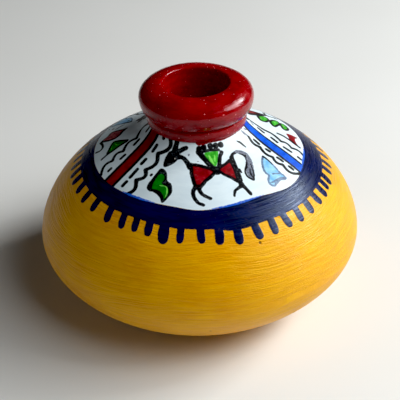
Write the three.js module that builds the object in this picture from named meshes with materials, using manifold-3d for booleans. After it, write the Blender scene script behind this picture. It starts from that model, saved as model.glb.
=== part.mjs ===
// A squat painted clay oil lamp: two thrown clay halves joined at the belly, a collar and a fat rolled
// rim on top, and a small brass wick burner that drops into the throat and lifts out for filling.
// Millimetres, +Z up. The origin is the middle of the foot, on the surface the lamp stands on.
import * as THREE from "three";
import { mergeVertices } from "three/addons/utils/BufferGeometryUtils.js";
import Module from "manifold-3d";

const wasm = await Module();
wasm.setup();

// ---- Driving dimensions of the clay ----
const bellyRadius = 60; // the widest line, where the two halves are luted together
const bowlDepth = 31.6; // below the belly line, to where the curve would close on the axis
const shoulderRise = 42.8; // above the belly line, to where the curve would close on the axis
const roundness = 1.8; // exponent of the belly curve: 2 is an ellipse, 1 a cone
const footRadius = 24; // the flat that the lamp stands on
const footEdge = 1; // the wiped edge round the foot
const clayWall = 5;
const floorWall = 6;
const throatRadius = 11.8; // bore of the rim and the collar
const ledgeWidth = 1.8; // the shoulder's inner edge, which the burner hangs on
const ledgeThickness = 6.6; // clay under the ledge
const neckWall = 5.5; // clay from the throat out to the collar's foot
const neckSweepWidth = 9.7; // over this width the shoulder sweeps up to the collar
const neckSweepHeight = 7.1;
const collarHeight = 4.4;
const collarBulge = 0.8; // how far the collar's band stands out beyond its foot
const rimOverhang = 3.3; // how far the rolled rim stands out beyond the collar's foot
const rimHeight = 10.7;
const rimWaist = 0.53; // share of the rim's height at its outermost line
const lipRadius = 1; // roll of the inner lip

// ---- Driving dimensions of the burner ----
const dropInClearance = 0.6; // burner to clay, all round
const sheetThickness = 0.8; // spun brass of the drip cup
const cupDepth = 4.8; // from the ledge down to the underside of the cup's floor
const cupTaper = 0.7; // how much narrower the cup is at its floor
const returnHoles = 3; // let spilt oil and air back through the cup's floor
const returnHoleRadius = 1;
const tubeBoreRadius = 2.15;
const tubeWall = 0.45;
const tubeAboveFloor = 6.7; // from the cup's floor up to the tube's mouth
const tubeBelowFloor = 6.2;
const beadWidth = 1.3; // shoulder bead that rests on the cup's floor
const beadHeight = 1.2;
const assemblyClearance = 0.1; // tube to cup and tube to lock ring
const lockRingWidth = 1.9;
const lockRingHeight = 2;
const wickClearance = 0.25; // loose twisted cotton in the tube
const wickAboveTube = 3;
const wickOffFloor = 3; // gap from the wick's lower end to the clay floor

// ---- Fineness ----
const claySegments = 56;
const brassSegments = 32;
const curveSteps = 12;

// ---- Radii and heights that follow ----
const ledgeRadius = throatRadius - ledgeWidth;
const collarFootRadius = throatRadius + neckWall;
const rimRadius = collarFootRadius + rimOverhang;
const neckSweepRadius = collarFootRadius + neckSweepWidth;
const bellyZ = bellyCurve(bowlDepth, bellyRadius, footRadius);
const sweepZ = bellyZ + bellyCurve(shoulderRise, bellyRadius, neckSweepRadius);
const ledgeZ = sweepZ + neckSweepHeight;
const collarTopZ = ledgeZ + collarHeight;
const rimTopZ = collarTopZ + rimHeight;
const cupFloorTopZ = ledgeZ - cupDepth + sheetThickness;
const tubeRadius = tubeBoreRadius + tubeWall;
const tubeTopZ = cupFloorTopZ + tubeAboveFloor;

const materials = {
  yellowClay: new THREE.MeshStandardMaterial({ color: 0xe9ab12, roughness: 0.42, metalness: 0 }),
  whiteClay: new THREE.MeshStandardMaterial({ color: 0xe4ecee, roughness: 0.4, metalness: 0 }),
  redClay: new THREE.MeshStandardMaterial({ color: 0x8e0710, roughness: 0.22, metalness: 0 }),
  brass: new THREE.MeshStandardMaterial({ color: 0xc79a46, roughness: 0.3, metalness: 1 }),
  cotton: new THREE.MeshStandardMaterial({ color: 0xe9e2d0, roughness: 0.95, metalness: 0 }),
};

// Height, above or below the belly line, of a superellipse of this depth and width at this radius.
function bellyCurve(depth, width, radius) {
  return depth * (1 - (radius / width) ** roundness) ** (1 / roundness);
}

// Points along that superellipse from the belly line to an end radius, as [radius, height].
function bellyArc(depth, width, endRadius, steps) {
  const last = Math.acos((endRadius / width) ** (roundness / 2));
  return Array.from({ length: steps + 1 }, (_, i) => {
    const angle = (last * i) / steps;
    return [width * Math.cos(angle) ** (2 / roundness), depth * Math.sin(angle) ** (2 / roundness)];
  });
}

// Points on an ellipse arc about [centreR, centreZ], from one angle to another, in degrees.
function ellipseArc(centreR, centreZ, semiR, semiZ, fromDeg, toDeg, steps) {
  return Array.from({ length: steps + 1 }, (_, i) => {
    const angle = THREE.MathUtils.degToRad(fromDeg + ((toDeg - fromDeg) * i) / steps);
    return [centreR + semiR * Math.cos(angle), centreZ + semiZ * Math.sin(angle)];
  });
}

// Turns a closed or axis-to-axis outline of [radius, z] about the +Z axis.
function turned(outline, segments) {
  const distinct = outline.filter(
    ([r, z], i) => i === 0 || Math.hypot(r - outline[i - 1][0], z - outline[i - 1][1]) > 1e-6,
  );
  const profile = distinct.map(([r, z]) => new THREE.Vector2(r, z));
  return new THREE.LatheGeometry(profile, segments).rotateX(Math.PI / 2);
}

function closed(outline) {
  return [...outline, outline[0]];
}

function toSolid(geometry) {
  const bare = geometry.clone().deleteAttribute("normal").deleteAttribute("uv");
  const merged = mergeVertices(bare, 1e-4);
  return new wasm.Manifold(
    new wasm.Mesh({
      numProp: 3,
      vertProperties: new Float32Array(merged.getAttribute("position").array),
      triVerts: new Uint32Array(merged.index.array),
    }),
  );
}

function toGeometry(solid) {
  const mesh = solid.getMesh();
  const geometry = new THREE.BufferGeometry();
  geometry.setAttribute("position", new THREE.BufferAttribute(mesh.vertProperties, 3));
  geometry.setIndex(new THREE.BufferAttribute(mesh.triVerts, 1));
  geometry.computeVertexNormals();
  return geometry;
}

function named(name, geometry, material) {
  const mesh = new THREE.Mesh(geometry, material);
  mesh.name = name;
  return mesh;
}

// The thrown lower half: foot, floor and round wall up to the flat joint at the belly line.
function lowerBowl() {
  const outside = bellyArc(bowlDepth, bellyRadius, footRadius, curveSteps + 4)
    .map(([r, h]) => [r, bellyZ - h])
    .reverse();
  outside[0] = [footRadius, footEdge];
  const innerDepth = bowlDepth - clayWall;
  const innerWidth = bellyRadius - clayWall;
  const share = 1 - ((bellyZ - floorWall) / innerDepth) ** roundness;
  const floorRadius = innerWidth * share ** (1 / roundness);
  const inside = bellyArc(innerDepth, innerWidth, floorRadius, curveSteps).map(([r, h]) => [r, bellyZ - h]);
  const outline = [[0, 0], [footRadius - footEdge, 0], ...outside, ...inside, [0, floorWall]];
  return named("lower_bowl", turned(outline, claySegments), materials.yellowClay);
}

// The upper half: the shoulder, its sweep up to the collar, and the opening with the burner's ledge.
function shoulderDome() {
  const outside = bellyArc(shoulderRise, bellyRadius, neckSweepRadius, curveSteps + 4).map(([r, h]) => [
    r,
    bellyZ + h,
  ]);
  const [lastR, lastZ] = outside.at(-1);
  const [beforeR, beforeZ] = outside.at(-2);
  const slope = (lastZ - beforeZ) / (beforeR - lastR);
  const reach = 0.73 * (neckSweepRadius - collarFootRadius);
  const sweep = new THREE.QuadraticBezierCurve(
    new THREE.Vector2(lastR, lastZ),
    new THREE.Vector2(lastR - reach, lastZ + slope * reach),
    new THREE.Vector2(collarFootRadius, ledgeZ),
  )
    .getPoints(curveSteps / 2)
    .slice(1)
    .map((p) => [p.x, p.y]);
  const innerWidth = bellyRadius - clayWall;
  const inside = bellyArc(shoulderRise - clayWall, innerWidth, neckSweepRadius - clayWall, curveSteps)
    .map(([r, h]) => [r, bellyZ + h])
    .reverse();
  const ledge = [[ledgeRadius, ledgeZ], [ledgeRadius, ledgeZ - ledgeThickness]];
  const outline = [...outside, ...sweep, ...ledge, ...inside];
  return named("shoulder_dome", turned(closed(outline), claySegments), materials.whiteClay);
}

// The short band between the shoulder and the rim, standing on the ledge's outer part.
function neckCollar() {
  const middle = ledgeZ + collarHeight / 2;
  const band = ellipseArc(collarFootRadius, middle, collarBulge, collarHeight / 2, -90, 90, curveSteps / 2);
  const outline = [[throatRadius, ledgeZ], ...band, [throatRadius, collarTopZ]];
  return named("neck_collar", turned(closed(outline), claySegments), materials.redClay);
}

// The fat rolled rim: its bulge leans outwards and its inner lip is a tighter roll.
function rolledRim() {
  const waistZ = collarTopZ + rimHeight * rimWaist;
  const crownRadius = throatRadius + lipRadius;
  const lower = ellipseArc(
    collarFootRadius, waistZ, rimRadius - collarFootRadius, waistZ - collarTopZ, -90, 0, curveSteps / 2,
  );
  const upper = ellipseArc(crownRadius, waistZ, rimRadius - crownRadius, rimTopZ - waistZ, 0, 90, curveSteps);
  const lip = ellipseArc(crownRadius, rimTopZ - lipRadius, lipRadius, lipRadius, 90, 180, curveSteps / 2);
  const outline = [[throatRadius, collarTopZ], ...lower, ...upper, ...lip];
  return named("rolled_rim", turned(closed(outline), claySegments), materials.redClay);
}

// A spun brass cup: a flange that hangs on the ledge, a pan for drips and holes that return the oil.
function dripCup() {
  const flangeRadius = throatRadius - dropInClearance;
  const wallRadius = ledgeRadius - dropInClearance;
  const floorZ = ledgeZ - cupDepth;
  const centreHole = tubeRadius + assemblyClearance;
  const outline = [
    [centreHole, floorZ],
    [wallRadius - cupTaper, floorZ],
    [wallRadius, ledgeZ],
    [flangeRadius, ledgeZ],
    [flangeRadius, ledgeZ + sheetThickness],
    [wallRadius - sheetThickness, ledgeZ + sheetThickness],
    [wallRadius - cupTaper - sheetThickness, cupFloorTopZ],
    [centreHole, cupFloorTopZ],
  ];
  let cup = toSolid(turned(closed(outline), brassSegments));
  const panInner = tubeRadius + beadWidth;
  const panOuter = wallRadius - cupTaper - sheetThickness;
  for (let i = 0; i < returnHoles; i++) {
    const angle = Math.PI / 2 + (2 * Math.PI * i) / returnHoles;
    const middle = (panInner + panOuter) / 2;
    const punch = new THREE.CylinderGeometry(returnHoleRadius, returnHoleRadius, 4 * sheetThickness, 12)
      .rotateX(Math.PI / 2)
      .translate(middle * Math.cos(angle), middle * Math.sin(angle), floorZ + sheetThickness / 2);
    cup = cup.subtract(toSolid(punch));
  }
  return named("drip_cup", toGeometry(cup), materials.brass);
}

// The brass tube that grips the wick, with the bead that seats it on the cup's floor.
function wickTube() {
  const beadRadius = tubeRadius + beadWidth;
  const outline = [
    [tubeBoreRadius, cupFloorTopZ - tubeBelowFloor],
    [tubeRadius, cupFloorTopZ - tubeBelowFloor],
    [tubeRadius, cupFloorTopZ],
    [beadRadius, cupFloorTopZ],
    [beadRadius, cupFloorTopZ + beadHeight / 2],
    [tubeRadius, cupFloorTopZ + beadHeight],
    [tubeRadius, tubeTopZ],
    [tubeBoreRadius, tubeTopZ],
  ];
  return named("wick_tube", turned(closed(outline), brassSegments), materials.brass);
}

// The brass ring pushed up the tube from below, which clamps the cup's floor against the bead.
function lockRing() {
  const bore = tubeRadius + assemblyClearance;
  const topZ = ledgeZ - cupDepth;
  const chamfer = lockRingWidth / 4;
  const outline = [
    [bore, topZ - lockRingHeight],
    [bore + lockRingWidth - chamfer, topZ - lockRingHeight],
    [bore + lockRingWidth, topZ - lockRingHeight + chamfer],
    [bore + lockRingWidth, topZ],
    [bore, topZ],
  ];
  return named("lock_ring", turned(closed(outline), brassSegments), materials.brass);
}

// The twisted cotton wick: from just above the tube down to just off the clay floor.
function cottonWick() {
  const radius = tubeBoreRadius - wickClearance;
  const topZ = tubeTopZ + wickAboveTube;
  const bottomZ = floorWall + wickOffFloor;
  const tip = [[radius, topZ - radius], [radius * 0.45, topZ], [0, topZ]];
  const outline = [[0, bottomZ], [radius, bottomZ], ...tip];
  return named("cotton_wick", turned(outline, brassSegments / 2), materials.cotton);
}

const vessel = new THREE.Group();
vessel.add(lowerBowl(), shoulderDome(), neckCollar(), rolledRim());

const burner = new THREE.Group();
burner.add(dripCup(), wickTube(), lockRing(), cottonWick());

const lamp = new THREE.Group();
lamp.add(vessel, burner);

export default lamp;
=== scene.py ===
# %% [markdown]
# # A painted clay oil lamp
# A squat pot is thrown in two halves, joined at the belly, and painted: turmeric yellow below, a navy band
# with hanging dashes, and a white shoulder with folk figures. A glossy red collar and a fat rolled rim close
# the top. A small brass burner with a cotton wick hangs inside the throat. Every clay surface is worked out
# with numpy as a profile carried round the turning axis, because that's how a potter's wheel makes it.

# %% Load the frame
import math

import bpy
import numpy as np
from mathutils import Matrix, Vector


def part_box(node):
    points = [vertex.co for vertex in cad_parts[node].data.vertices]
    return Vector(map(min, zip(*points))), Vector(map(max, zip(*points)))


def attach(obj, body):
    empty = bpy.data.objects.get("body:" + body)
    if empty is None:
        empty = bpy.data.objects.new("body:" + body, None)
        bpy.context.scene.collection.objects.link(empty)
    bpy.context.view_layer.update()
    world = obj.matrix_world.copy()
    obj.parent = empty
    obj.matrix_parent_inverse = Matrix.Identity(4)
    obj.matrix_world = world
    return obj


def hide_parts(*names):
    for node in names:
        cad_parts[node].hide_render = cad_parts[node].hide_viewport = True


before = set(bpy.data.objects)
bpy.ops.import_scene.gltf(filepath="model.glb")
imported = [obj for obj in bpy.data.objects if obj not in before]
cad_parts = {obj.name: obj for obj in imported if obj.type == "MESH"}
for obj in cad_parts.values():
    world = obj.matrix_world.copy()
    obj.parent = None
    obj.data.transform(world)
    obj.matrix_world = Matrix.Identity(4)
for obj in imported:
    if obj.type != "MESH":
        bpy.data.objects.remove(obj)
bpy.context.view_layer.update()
print("nodes:", sorted(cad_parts))

# %% [markdown]
# The sizes are in millimetres. What the frame can tell is read from its boxes, so the fine surfaces land
# exactly on the solids that they stand for. The rest are the potter's own sizes, which a box can't show.

# %% Sizes
MM = 0.001


def box_mm(node):
    """Lowest and highest corner of a solid, in millimetres."""
    low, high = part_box(node)
    return np.array(low) / MM, np.array(high) / MM


belly_z = box_mm("lower_bowl")[1][2]
belly_radius = box_mm("shoulder_dome")[1][0]
ledge_z, collar_top_z = box_mm("neck_collar")[0][2], box_mm("neck_collar")[1][2]
collar_radius = box_mm("neck_collar")[1][0]
rim_radius, rim_top_z = box_mm("rolled_rim")[1][0], box_mm("rolled_rim")[1][2]

roundness = 1.8  # exponent of the belly curve, where 2 is an ellipse
foot_radius, foot_edge = 24.0, 1.0
clay_wall, floor_wall = 5.0, 6.0
throat_radius, ledge_radius, ledge_thickness = 11.8, 10.0, 6.6
collar_foot_radius, sweep_radius, sweep_height = 17.3, 27.0, 7.1
lip_radius, rim_waist = 1.0, 0.53  # the waist is the share of the rim below its widest line
hand_wobble = 0.2  # how far a hand-thrown wall wanders

sweep_z = ledge_z - sweep_height
print(f"belly {2 * belly_radius:.1f} mm across at {belly_z:.1f} mm, rim top at {rim_top_z:.1f} mm")

# %% [markdown]
# ## The outline
# The belly is a superellipse, a curve between a cone and an ellipse. Near the neck the shoulder sweeps up to
# the collar along a quadratic Bezier curve that leaves the belly in its own direction. The whole outline is
# measured by its length, so that a painter's "so many millimetres down the slope" finds a place on the clay.

# %% The outline from the collar to the foot


def curve_share(radius, width):
    """The superellipse's height for a depth of 1: (1 - (radius / width) ** roundness) ** (1 / roundness)."""
    return (1 - (radius / width) ** roundness) ** (1 / roundness)


def belly_arc(depth, width, end_radius, steps):
    """Superellipse points from the belly line to an end radius: r = w cos^(2/n), h = d sin^(2/n)."""
    angle = np.linspace(0, np.arccos((end_radius / width) ** (roundness / 2)), steps + 1)
    return width * np.cos(angle) ** (2 / roundness), depth * np.sin(angle) ** (2 / roundness)


bowl_depth = belly_z / curve_share(foot_radius, belly_radius)
shoulder_rise = (sweep_z - belly_z) / curve_share(sweep_radius, belly_radius)
skin_radius = belly_radius - hand_wobble


def neck_sweep(steps):
    """Quadratic Bezier (1-t)^2 A + 2t(1-t) B + t^2 C, from the collar's foot C back to the belly at A."""
    nudge = 0.01
    near, far = (shoulder_rise * curve_share(sweep_radius + d, belly_radius) for d in (-nudge, nudge))
    steepness = (near - far) / (2 * nudge)
    reach = 0.73 * (sweep_radius - collar_foot_radius)
    a = np.array([sweep_radius, sweep_z])
    b = a + np.array([-reach, steepness * reach])
    c = np.array([collar_foot_radius, ledge_z])
    t = np.linspace(1, 0, steps + 1)[:, None]
    return (1 - t) ** 2 * a + 2 * t * (1 - t) * b + t**2 * c


sweep = neck_sweep(60)
upper_r, upper_h = belly_arc(shoulder_rise, skin_radius, sweep_radius, 400)
lower_r, lower_h = belly_arc(bowl_depth, skin_radius, foot_radius, 300)
outline_r = np.concatenate([sweep[:, 0], upper_r[::-1][1:], lower_r[1:]])
outline_z = np.concatenate([sweep[:, 1], belly_z + upper_h[::-1][1:], belly_z - lower_h[1:]])
outline_slope = np.concatenate([[0], np.cumsum(np.hypot(np.diff(outline_r), np.diff(outline_z)))])
belly_slope = outline_slope[len(sweep) + len(upper_r) - 2]
foot_slope = outline_slope[-1]


def radius_at(slope):
    """Radius of the outside, so many mm down the slope from the collar."""
    return np.interp(slope, outline_slope, outline_r)


def height_at(slope):
    """Height of the outside, so many mm down the slope from the collar."""
    return np.interp(slope, outline_slope, outline_z)


print(f"collar to belly line {belly_slope:.1f} mm down the slope, to the foot {foot_slope:.1f} mm")

# %% [markdown]
# ## From numbers to meshes
# Each turned piece is a grid: rows follow the profile and columns go round the axis. The azimuth is 0 at the
# front, -Y, and grows towards +X. Whole arrays go into the mesh with foreach_set, which is quick.

# %% Grid and mesh helpers


def on_pot(azimuth, radius, height):
    """x = r sin(azimuth), y = -r cos(azimuth), z = height, for azimuths in degrees."""
    turn = np.radians(azimuth)
    return np.stack([radius * np.sin(turn), -radius * np.cos(turn), height + 0 * turn], axis=-1)


def clay_wander(azimuth, height):
    """A few slow sine waves round and up the pot: how far a hand-thrown wall strays from true, in mm."""
    turn = np.radians(azimuth)
    waves = np.sin(2 * turn + 0.6) + 0.6 * np.sin(3 * turn - 1.1 + height / 17)
    waves = waves + 0.4 * np.sin(5 * turn + height / 9)
    return hand_wobble * waves / 2


def mesh_object(name, points, faces, smooth_below=35.0):
    """Makes an object from points in mm and a list of face arrays, each of quads or triangles."""
    mesh = bpy.data.meshes.new(name)
    corners = np.concatenate([part.ravel() for part in faces])
    sides = np.concatenate([np.full(len(part), part.shape[1]) for part in faces])
    mesh.vertices.add(len(points))
    mesh.vertices.foreach_set("co", (np.asarray(points) * MM).astype(np.float32).ravel())
    mesh.loops.add(len(corners))
    mesh.loops.foreach_set("vertex_index", corners.astype(np.int32))
    mesh.polygons.add(len(sides))
    mesh.polygons.foreach_set("loop_start", np.concatenate([[0], np.cumsum(sides)[:-1]]).astype(np.int32))
    mesh.update(calc_edges=True)
    mesh.validate()
    mesh.shade_smooth()
    mesh.set_sharp_from_angle(angle=math.radians(smooth_below))
    made = bpy.data.objects.new(name, mesh)
    bpy.context.scene.collection.objects.link(made)
    return made


# %% [markdown]
# A wheel makes a profile into a pot. The same step here repeats a profile's rows round the axis, joins them
# with quads, and closes the poles with triangles when the profile starts and ends on the axis.

# %% Turning a profile


def grid_faces(rows, columns, close_rows=False):
    """Quads of a grid whose columns wrap round, and whose rows wrap too when the profile is a closed loop."""
    row = np.arange(rows if close_rows else rows - 1)[:, None]
    column = np.arange(columns)[None, :]
    below, beside = (row + 1) % rows, (column + 1) % columns
    quads = [r * columns + c for r, c in ((row, column), (below, column), (below, beside), (row, beside))]
    return np.stack(np.broadcast_arrays(*quads), axis=-1).reshape(-1, 4)


def point_outwards(points, faces):
    """Turns every face round if the surface's signed volume, the sum of a . (b x c) / 6, is negative."""
    volume = 0.0
    for part in faces:
        for k in range(1, part.shape[1] - 1):
            a, b, c = (points[part[:, i]] for i in (0, k, k + 1))
            volume += np.einsum("ij,ij->i", a, np.cross(b, c)).sum() / 6
    return faces if volume > 0 else [part[:, ::-1] for part in faces]


def turned(name, profile, columns, wander=True, closed=True):
    """Carries a profile of (radius, height) rows round +Z. An open profile starts and ends on the axis."""
    profile = np.asarray(profile, dtype=float)
    azimuth = np.arange(columns)[None, :] * 360 / columns
    rows = profile if closed else profile[1:-1]
    radius, height = rows[:, :1], rows[:, 1:]
    stray = clay_wander(azimuth, height) * np.clip(radius / throat_radius, 0, 1) if wander else 0
    points = on_pot(azimuth, radius + stray, height).reshape(-1, 3)
    faces = [grid_faces(len(rows), columns, close_rows=closed)]
    if not closed:
        ring = np.arange(columns)
        after = (ring + 1) % columns
        last = (len(rows) - 1) * columns
        poles = len(points) + np.zeros((2, columns), dtype=int) + [[0], [1]]
        points = np.vstack([points, [[0, 0, profile[0, 1]], [0, 0, profile[-1, 1]]]])
        faces.append(np.stack([ring, after, poles[0]], axis=1))
        faces.append(np.stack([last + after, last + ring, poles[1]], axis=1))
    made = mesh_object(name, points, point_outwards(points, faces))
    print(f"{name}: {sum(len(f) * (f.shape[1] - 2) for f in faces)} triangles")
    return made


# %% [markdown]
# Paint needs to know where it is on the clay. Numbers stored on the vertices tell the materials that: the
# brush's way along the wall here, and the distance to each colour's edge later.

# %% Stored numbers


def vertex_numbers(piece, name="co"):
    """The vertices' places or normals, one row each."""
    numbers = np.empty(3 * len(piece.data.vertices), dtype=np.float32)
    piece.data.vertices.foreach_get(name, numbers)
    return numbers.reshape(-1, 3)


def set_attribute(piece, name, values):
    """Stores one number, or one vector, on every vertex."""
    vector = values.ndim == 2
    data = piece.data.attributes.new(name, "FLOAT_VECTOR" if vector else "FLOAT", "POINT").data
    data.foreach_set("vector" if vector else "value", values.astype(np.float32).ravel())


def set_brush_way(piece, profile=None):
    """Stores (x / r, y / r, mm along the wall) for brush marks. The wall is the outline or a profile."""
    x, y, z = vertex_numbers(piece).T / MM
    radius = np.maximum(np.hypot(x, y), 1e-6)
    if profile is None:
        above = outline_slope <= belly_slope
        upper = np.interp(radius, outline_r[above], outline_slope[above])
        lower = np.interp(-z, -outline_z[~above], outline_slope[~above])
        along = np.where(z > belly_z, upper, lower)
    else:
        steps = np.hypot(*np.diff(profile, axis=0).T)
        along = np.repeat(np.concatenate([[0], np.cumsum(steps)]), len(x) // len(profile))
    set_attribute(piece, "brush_way", np.stack([x / radius, y / radius, along], axis=1))


def ellipse_arc(centre_r, centre_z, semi_r, semi_z, start, end, steps):
    """Points of an ellipse: (cr + a cos angle, cz + b sin angle), for angles in degrees."""
    angle = np.radians(np.linspace(start, end, steps + 1))
    return np.stack([centre_r + semi_r * np.cos(angle), centre_z + semi_z * np.sin(angle)], axis=1)

# %% [markdown]
# ## The lower bowl
# Thrown from the foot upwards. Outside it runs smoothly down from the belly line to a wiped edge and a flat
# foot. Inside, the potter's fingers leave slow rings, so the inner wall is the same curve with a small wave.

# %% Lower bowl


def inner_wall(depth, end_radius, steps, way):
    """The inside curve up (1) or down (-1) from the belly line, with rings 0.3 mm deep and 6 mm apart."""
    radius, reach = belly_arc(depth - clay_wall, belly_radius - clay_wall, end_radius, steps)
    rings = 0.15 * (1 - np.cos(2 * np.pi * reach / 6)) * np.clip(reach / 3, 0, 1)
    return np.stack([radius + rings, belly_z + way * reach], axis=1)


even_slopes = np.arange(belly_slope + 0.6, foot_slope - 0.8, 0.7)
outside_slopes = np.concatenate([[belly_slope, belly_slope + 0.03], even_slopes])
outside = np.stack([radius_at(outside_slopes), height_at(outside_slopes)], axis=1)
wiped_edge = ellipse_arc(foot_radius - foot_edge, foot_edge, foot_edge, foot_edge, 0, -90, 6)
foot_rings = np.linspace(foot_radius - foot_edge - 1, 1, 16)
foot = np.stack([foot_rings, 0.06 * (1 + np.sin(foot_rings * 2.4))], axis=1)
floor_share = curve_share(belly_z - floor_wall, bowl_depth - clay_wall)
inside = inner_wall(bowl_depth, (belly_radius - clay_wall) * floor_share, 40, way=-1)
floor_rings = np.linspace(inside[-1, 0] - 1.5, 1, 10)
floor = np.stack([floor_rings, floor_wall + 0.15 * np.cos(floor_rings * 1.1)], axis=1)
bowl_profile = np.vstack([[[0, 0.1]], foot[::-1], wiped_edge[::-1], outside[::-1], inside, floor,
                          [[0, floor_wall]]])
bowl = turned("yellow_bowl", bowl_profile, 480, closed=False)
set_brush_way(bowl)

# %% [markdown]
# ## The shoulder and its painting plan
# The painter works round the shoulder, so the plan of the painting uses a painter's numbers: degrees round
# the pot and millimetres down the slope from the collar. Each colour is a layer. For every vertex, a layer
# stores the distance to the nearest edge of that colour, negative inside it. The material then turns
# distance into paint with a slightly ragged edge, which stays crisp at any zoom. The rows are closest
# where the drawing is.

# %% Shoulder surface
painted_rows = np.arange(0, 41, 0.4)
plain_rows = np.arange(41, belly_slope - 0.5, 1.0)
dome_slopes = np.concatenate([painted_rows, plain_rows, [belly_slope - 0.03, belly_slope]])
dome_columns = 600
dome_outside = np.stack([radius_at(dome_slopes), height_at(dome_slopes)], axis=1)
ledge_low = ellipse_arc(ledge_radius + 0.5, ledge_z - ledge_thickness + 0.5, 0.5, 0.5, 270, 180, 3)
ledge_high = ellipse_arc(ledge_radius + 0.4, ledge_z - 0.4, 0.4, 0.4, 180, 90, 3)
dome_inside = inner_wall(shoulder_rise, sweep_radius - clay_wall, 13, way=1)
dome_profile = np.vstack([dome_outside, dome_inside, ledge_low, ledge_high])
dome = turned("painted_shoulder", dome_profile, dome_columns)
set_brush_way(dome)

# %% [markdown]
# A figure is drawn on a flat sheet laid on the slope at its own azimuth: x is the distance round the pot at
# that height, y the distance down the slope. Lines are smooth curves through a few points with a brush's
# half width, and filled shapes are closed outlines. Catmull-Rom curves pass through every point they are
# given, which suits a hand that draws through the places it aims for.

# %% Drawing tools
paint_layers = {}
sheet_azimuth = np.arange(dome_columns)[None, :] * 360 / dome_columns + 0 * dome_slopes[:, None]
sheet_slope = dome_slopes[:, None] + 0 * sheet_azimuth
sheet_radius = radius_at(sheet_slope)
far_off = 3.0  # mm, the distance stored where a colour is nowhere near


def through(points, closed=False, steps=6):
    """Catmull-Rom: half of 2P1 + (P2-P0)t + (2P0-5P1+4P2-P3)t^2 + (3P1-P0-3P2+P3)t^3, through the points."""
    p = np.asarray(points, dtype=float)
    before, after = (p[-1:], p[:2]) if closed else (2 * p[:1] - p[1:2], 2 * p[-1:] - p[-2:-1])
    ring = np.vstack([before, p, after])
    t = np.linspace(0, 1, steps, endpoint=False)[None, :, None]
    p0, p1, p2, p3 = (ring[k : len(ring) - 3 + k, None, :] for k in range(4))
    curve = 2 * p1 + (p2 - p0) * t + (2 * p0 - 5 * p1 + 4 * p2 - p3) * t**2 + (3 * (p1 - p2) + p3 - p0) * t**3
    curve = curve.reshape(-1, p.shape[1]) / 2
    return curve if closed else np.vstack([curve, p[-1:]])


def on_sheet(azimuth, slope, about):
    """Flat coordinates near an azimuth: radians from it times the radius there, and mm down the slope."""
    turn = (np.asarray(azimuth) - about + 180) % 360 - 180
    return np.stack([np.radians(turn) * radius_at(slope), np.asarray(slope) + 0 * turn], axis=-1)


def near(points, margin=3.0):
    """The patch of the shoulder round a figure, and the figure's middle azimuth."""
    about = (points[:, 0].min() + points[:, 0].max()) / 2
    turn = np.abs((sheet_azimuth - about + 180) % 360 - 180)
    wide = np.radians(turn) * sheet_radius < np.radians(np.ptp(points[:, 0]) / 2) * sheet_radius + margin
    tall = (sheet_slope > points[:, 1].min() - margin) & (sheet_slope < points[:, 1].max() + margin)
    return wide & tall, about


def segment_distance(places, line, widths):
    """Distance from each place to a chain of segments, less the brush's half width at the nearest point."""
    best = np.full(len(places), 1e3)
    for start, end, w0, w1 in zip(line[:-1], line[1:], widths[:-1], widths[1:]):
        along = end - start
        t = np.clip((places - start) @ along / max(along @ along, 1e-9), 0, 1)
        gap = np.hypot(*(places - start - t[:, None] * along).T) - (w0 + t * (w1 - w0))
        best = np.minimum(best, gap)
    return best


# %% [markdown]
# With distances in hand, a brush line, a filled shape and a dot are short functions. A shape's inside is
# found by counting how often its edge is crossed on the way out, and a carved shape is cut back out.

# %% Brushes


def lay(layer, patch, distance):
    """Adds a figure to a colour's layer: the nearer edge wins."""
    sheet = paint_layers.setdefault(layer, np.full(sheet_slope.shape, far_off))
    sheet[patch] = np.minimum(sheet[patch], distance)


def line(layer, points, width=1.0, smooth=True):
    """A brush line through (azimuth, slope) points. The width in mm is one number, or one for each point."""
    rows = np.column_stack([points, np.broadcast_to(np.asarray(width, dtype=float) / 2, len(points))])
    rows = through(rows) if smooth and len(rows) > 2 else rows
    patch, about = near(rows)
    places = on_sheet(sheet_azimuth[patch], sheet_slope[patch], about)
    lay(layer, patch, segment_distance(places, on_sheet(rows[:, 0], rows[:, 1], about), rows[:, 2]))


def fill(layer, points, outline=None, width=1.0, smooth=True):
    """A filled shape inside a closed outline of (azimuth, slope), and the line round it in another layer."""
    ring = through(points, closed=True) if smooth else np.asarray(points, dtype=float)
    ring = np.vstack([ring, ring[:1]])
    patch, about = near(ring)
    places = on_sheet(sheet_azimuth[patch], sheet_slope[patch], about)
    edge = on_sheet(ring[:, 0], ring[:, 1], about)
    inside = np.zeros(len(places), dtype=bool)
    for (x0, y0), (x1, y1) in zip(edge[:-1], edge[1:]):
        crosses = (y0 > places[:, 1]) != (y1 > places[:, 1])
        inside ^= crosses & (places[:, 0] < (x1 - x0) * (places[:, 1] - y0) / (y1 - y0 + 1e-12) + x0)
    gap = segment_distance(places, edge, np.zeros(len(edge)))
    lay(layer, patch, np.where(inside, -gap, gap))
    if outline:
        lay(outline, patch, gap - width / 2)


def carve(layer, points):
    """Takes a closed shape back out of a layer that's already there: the paint stays clear of it."""
    drawn = paint_layers[layer].copy()
    paint_layers[layer][:] = far_off
    fill(layer, points)
    paint_layers[layer] = np.maximum(drawn, -paint_layers[layer])


def dot(layer, azimuth, slope, radius):
    """A touch of the brush's tip."""
    line(layer, [(azimuth, slope - 0.05), (azimuth, slope + 0.05)], width=2 * radius, smooth=False)

# %% [markdown]
# ## The painting
# First the grounds: the yellow comes up to a wandering edge, the navy band lies between that edge and the
# white, and short dashes hang from the band. The band was painted by hand, so its edges rise and fall by a
# millimetre or two on the way round, and the dashes aren't quite evenly spaced.

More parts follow.
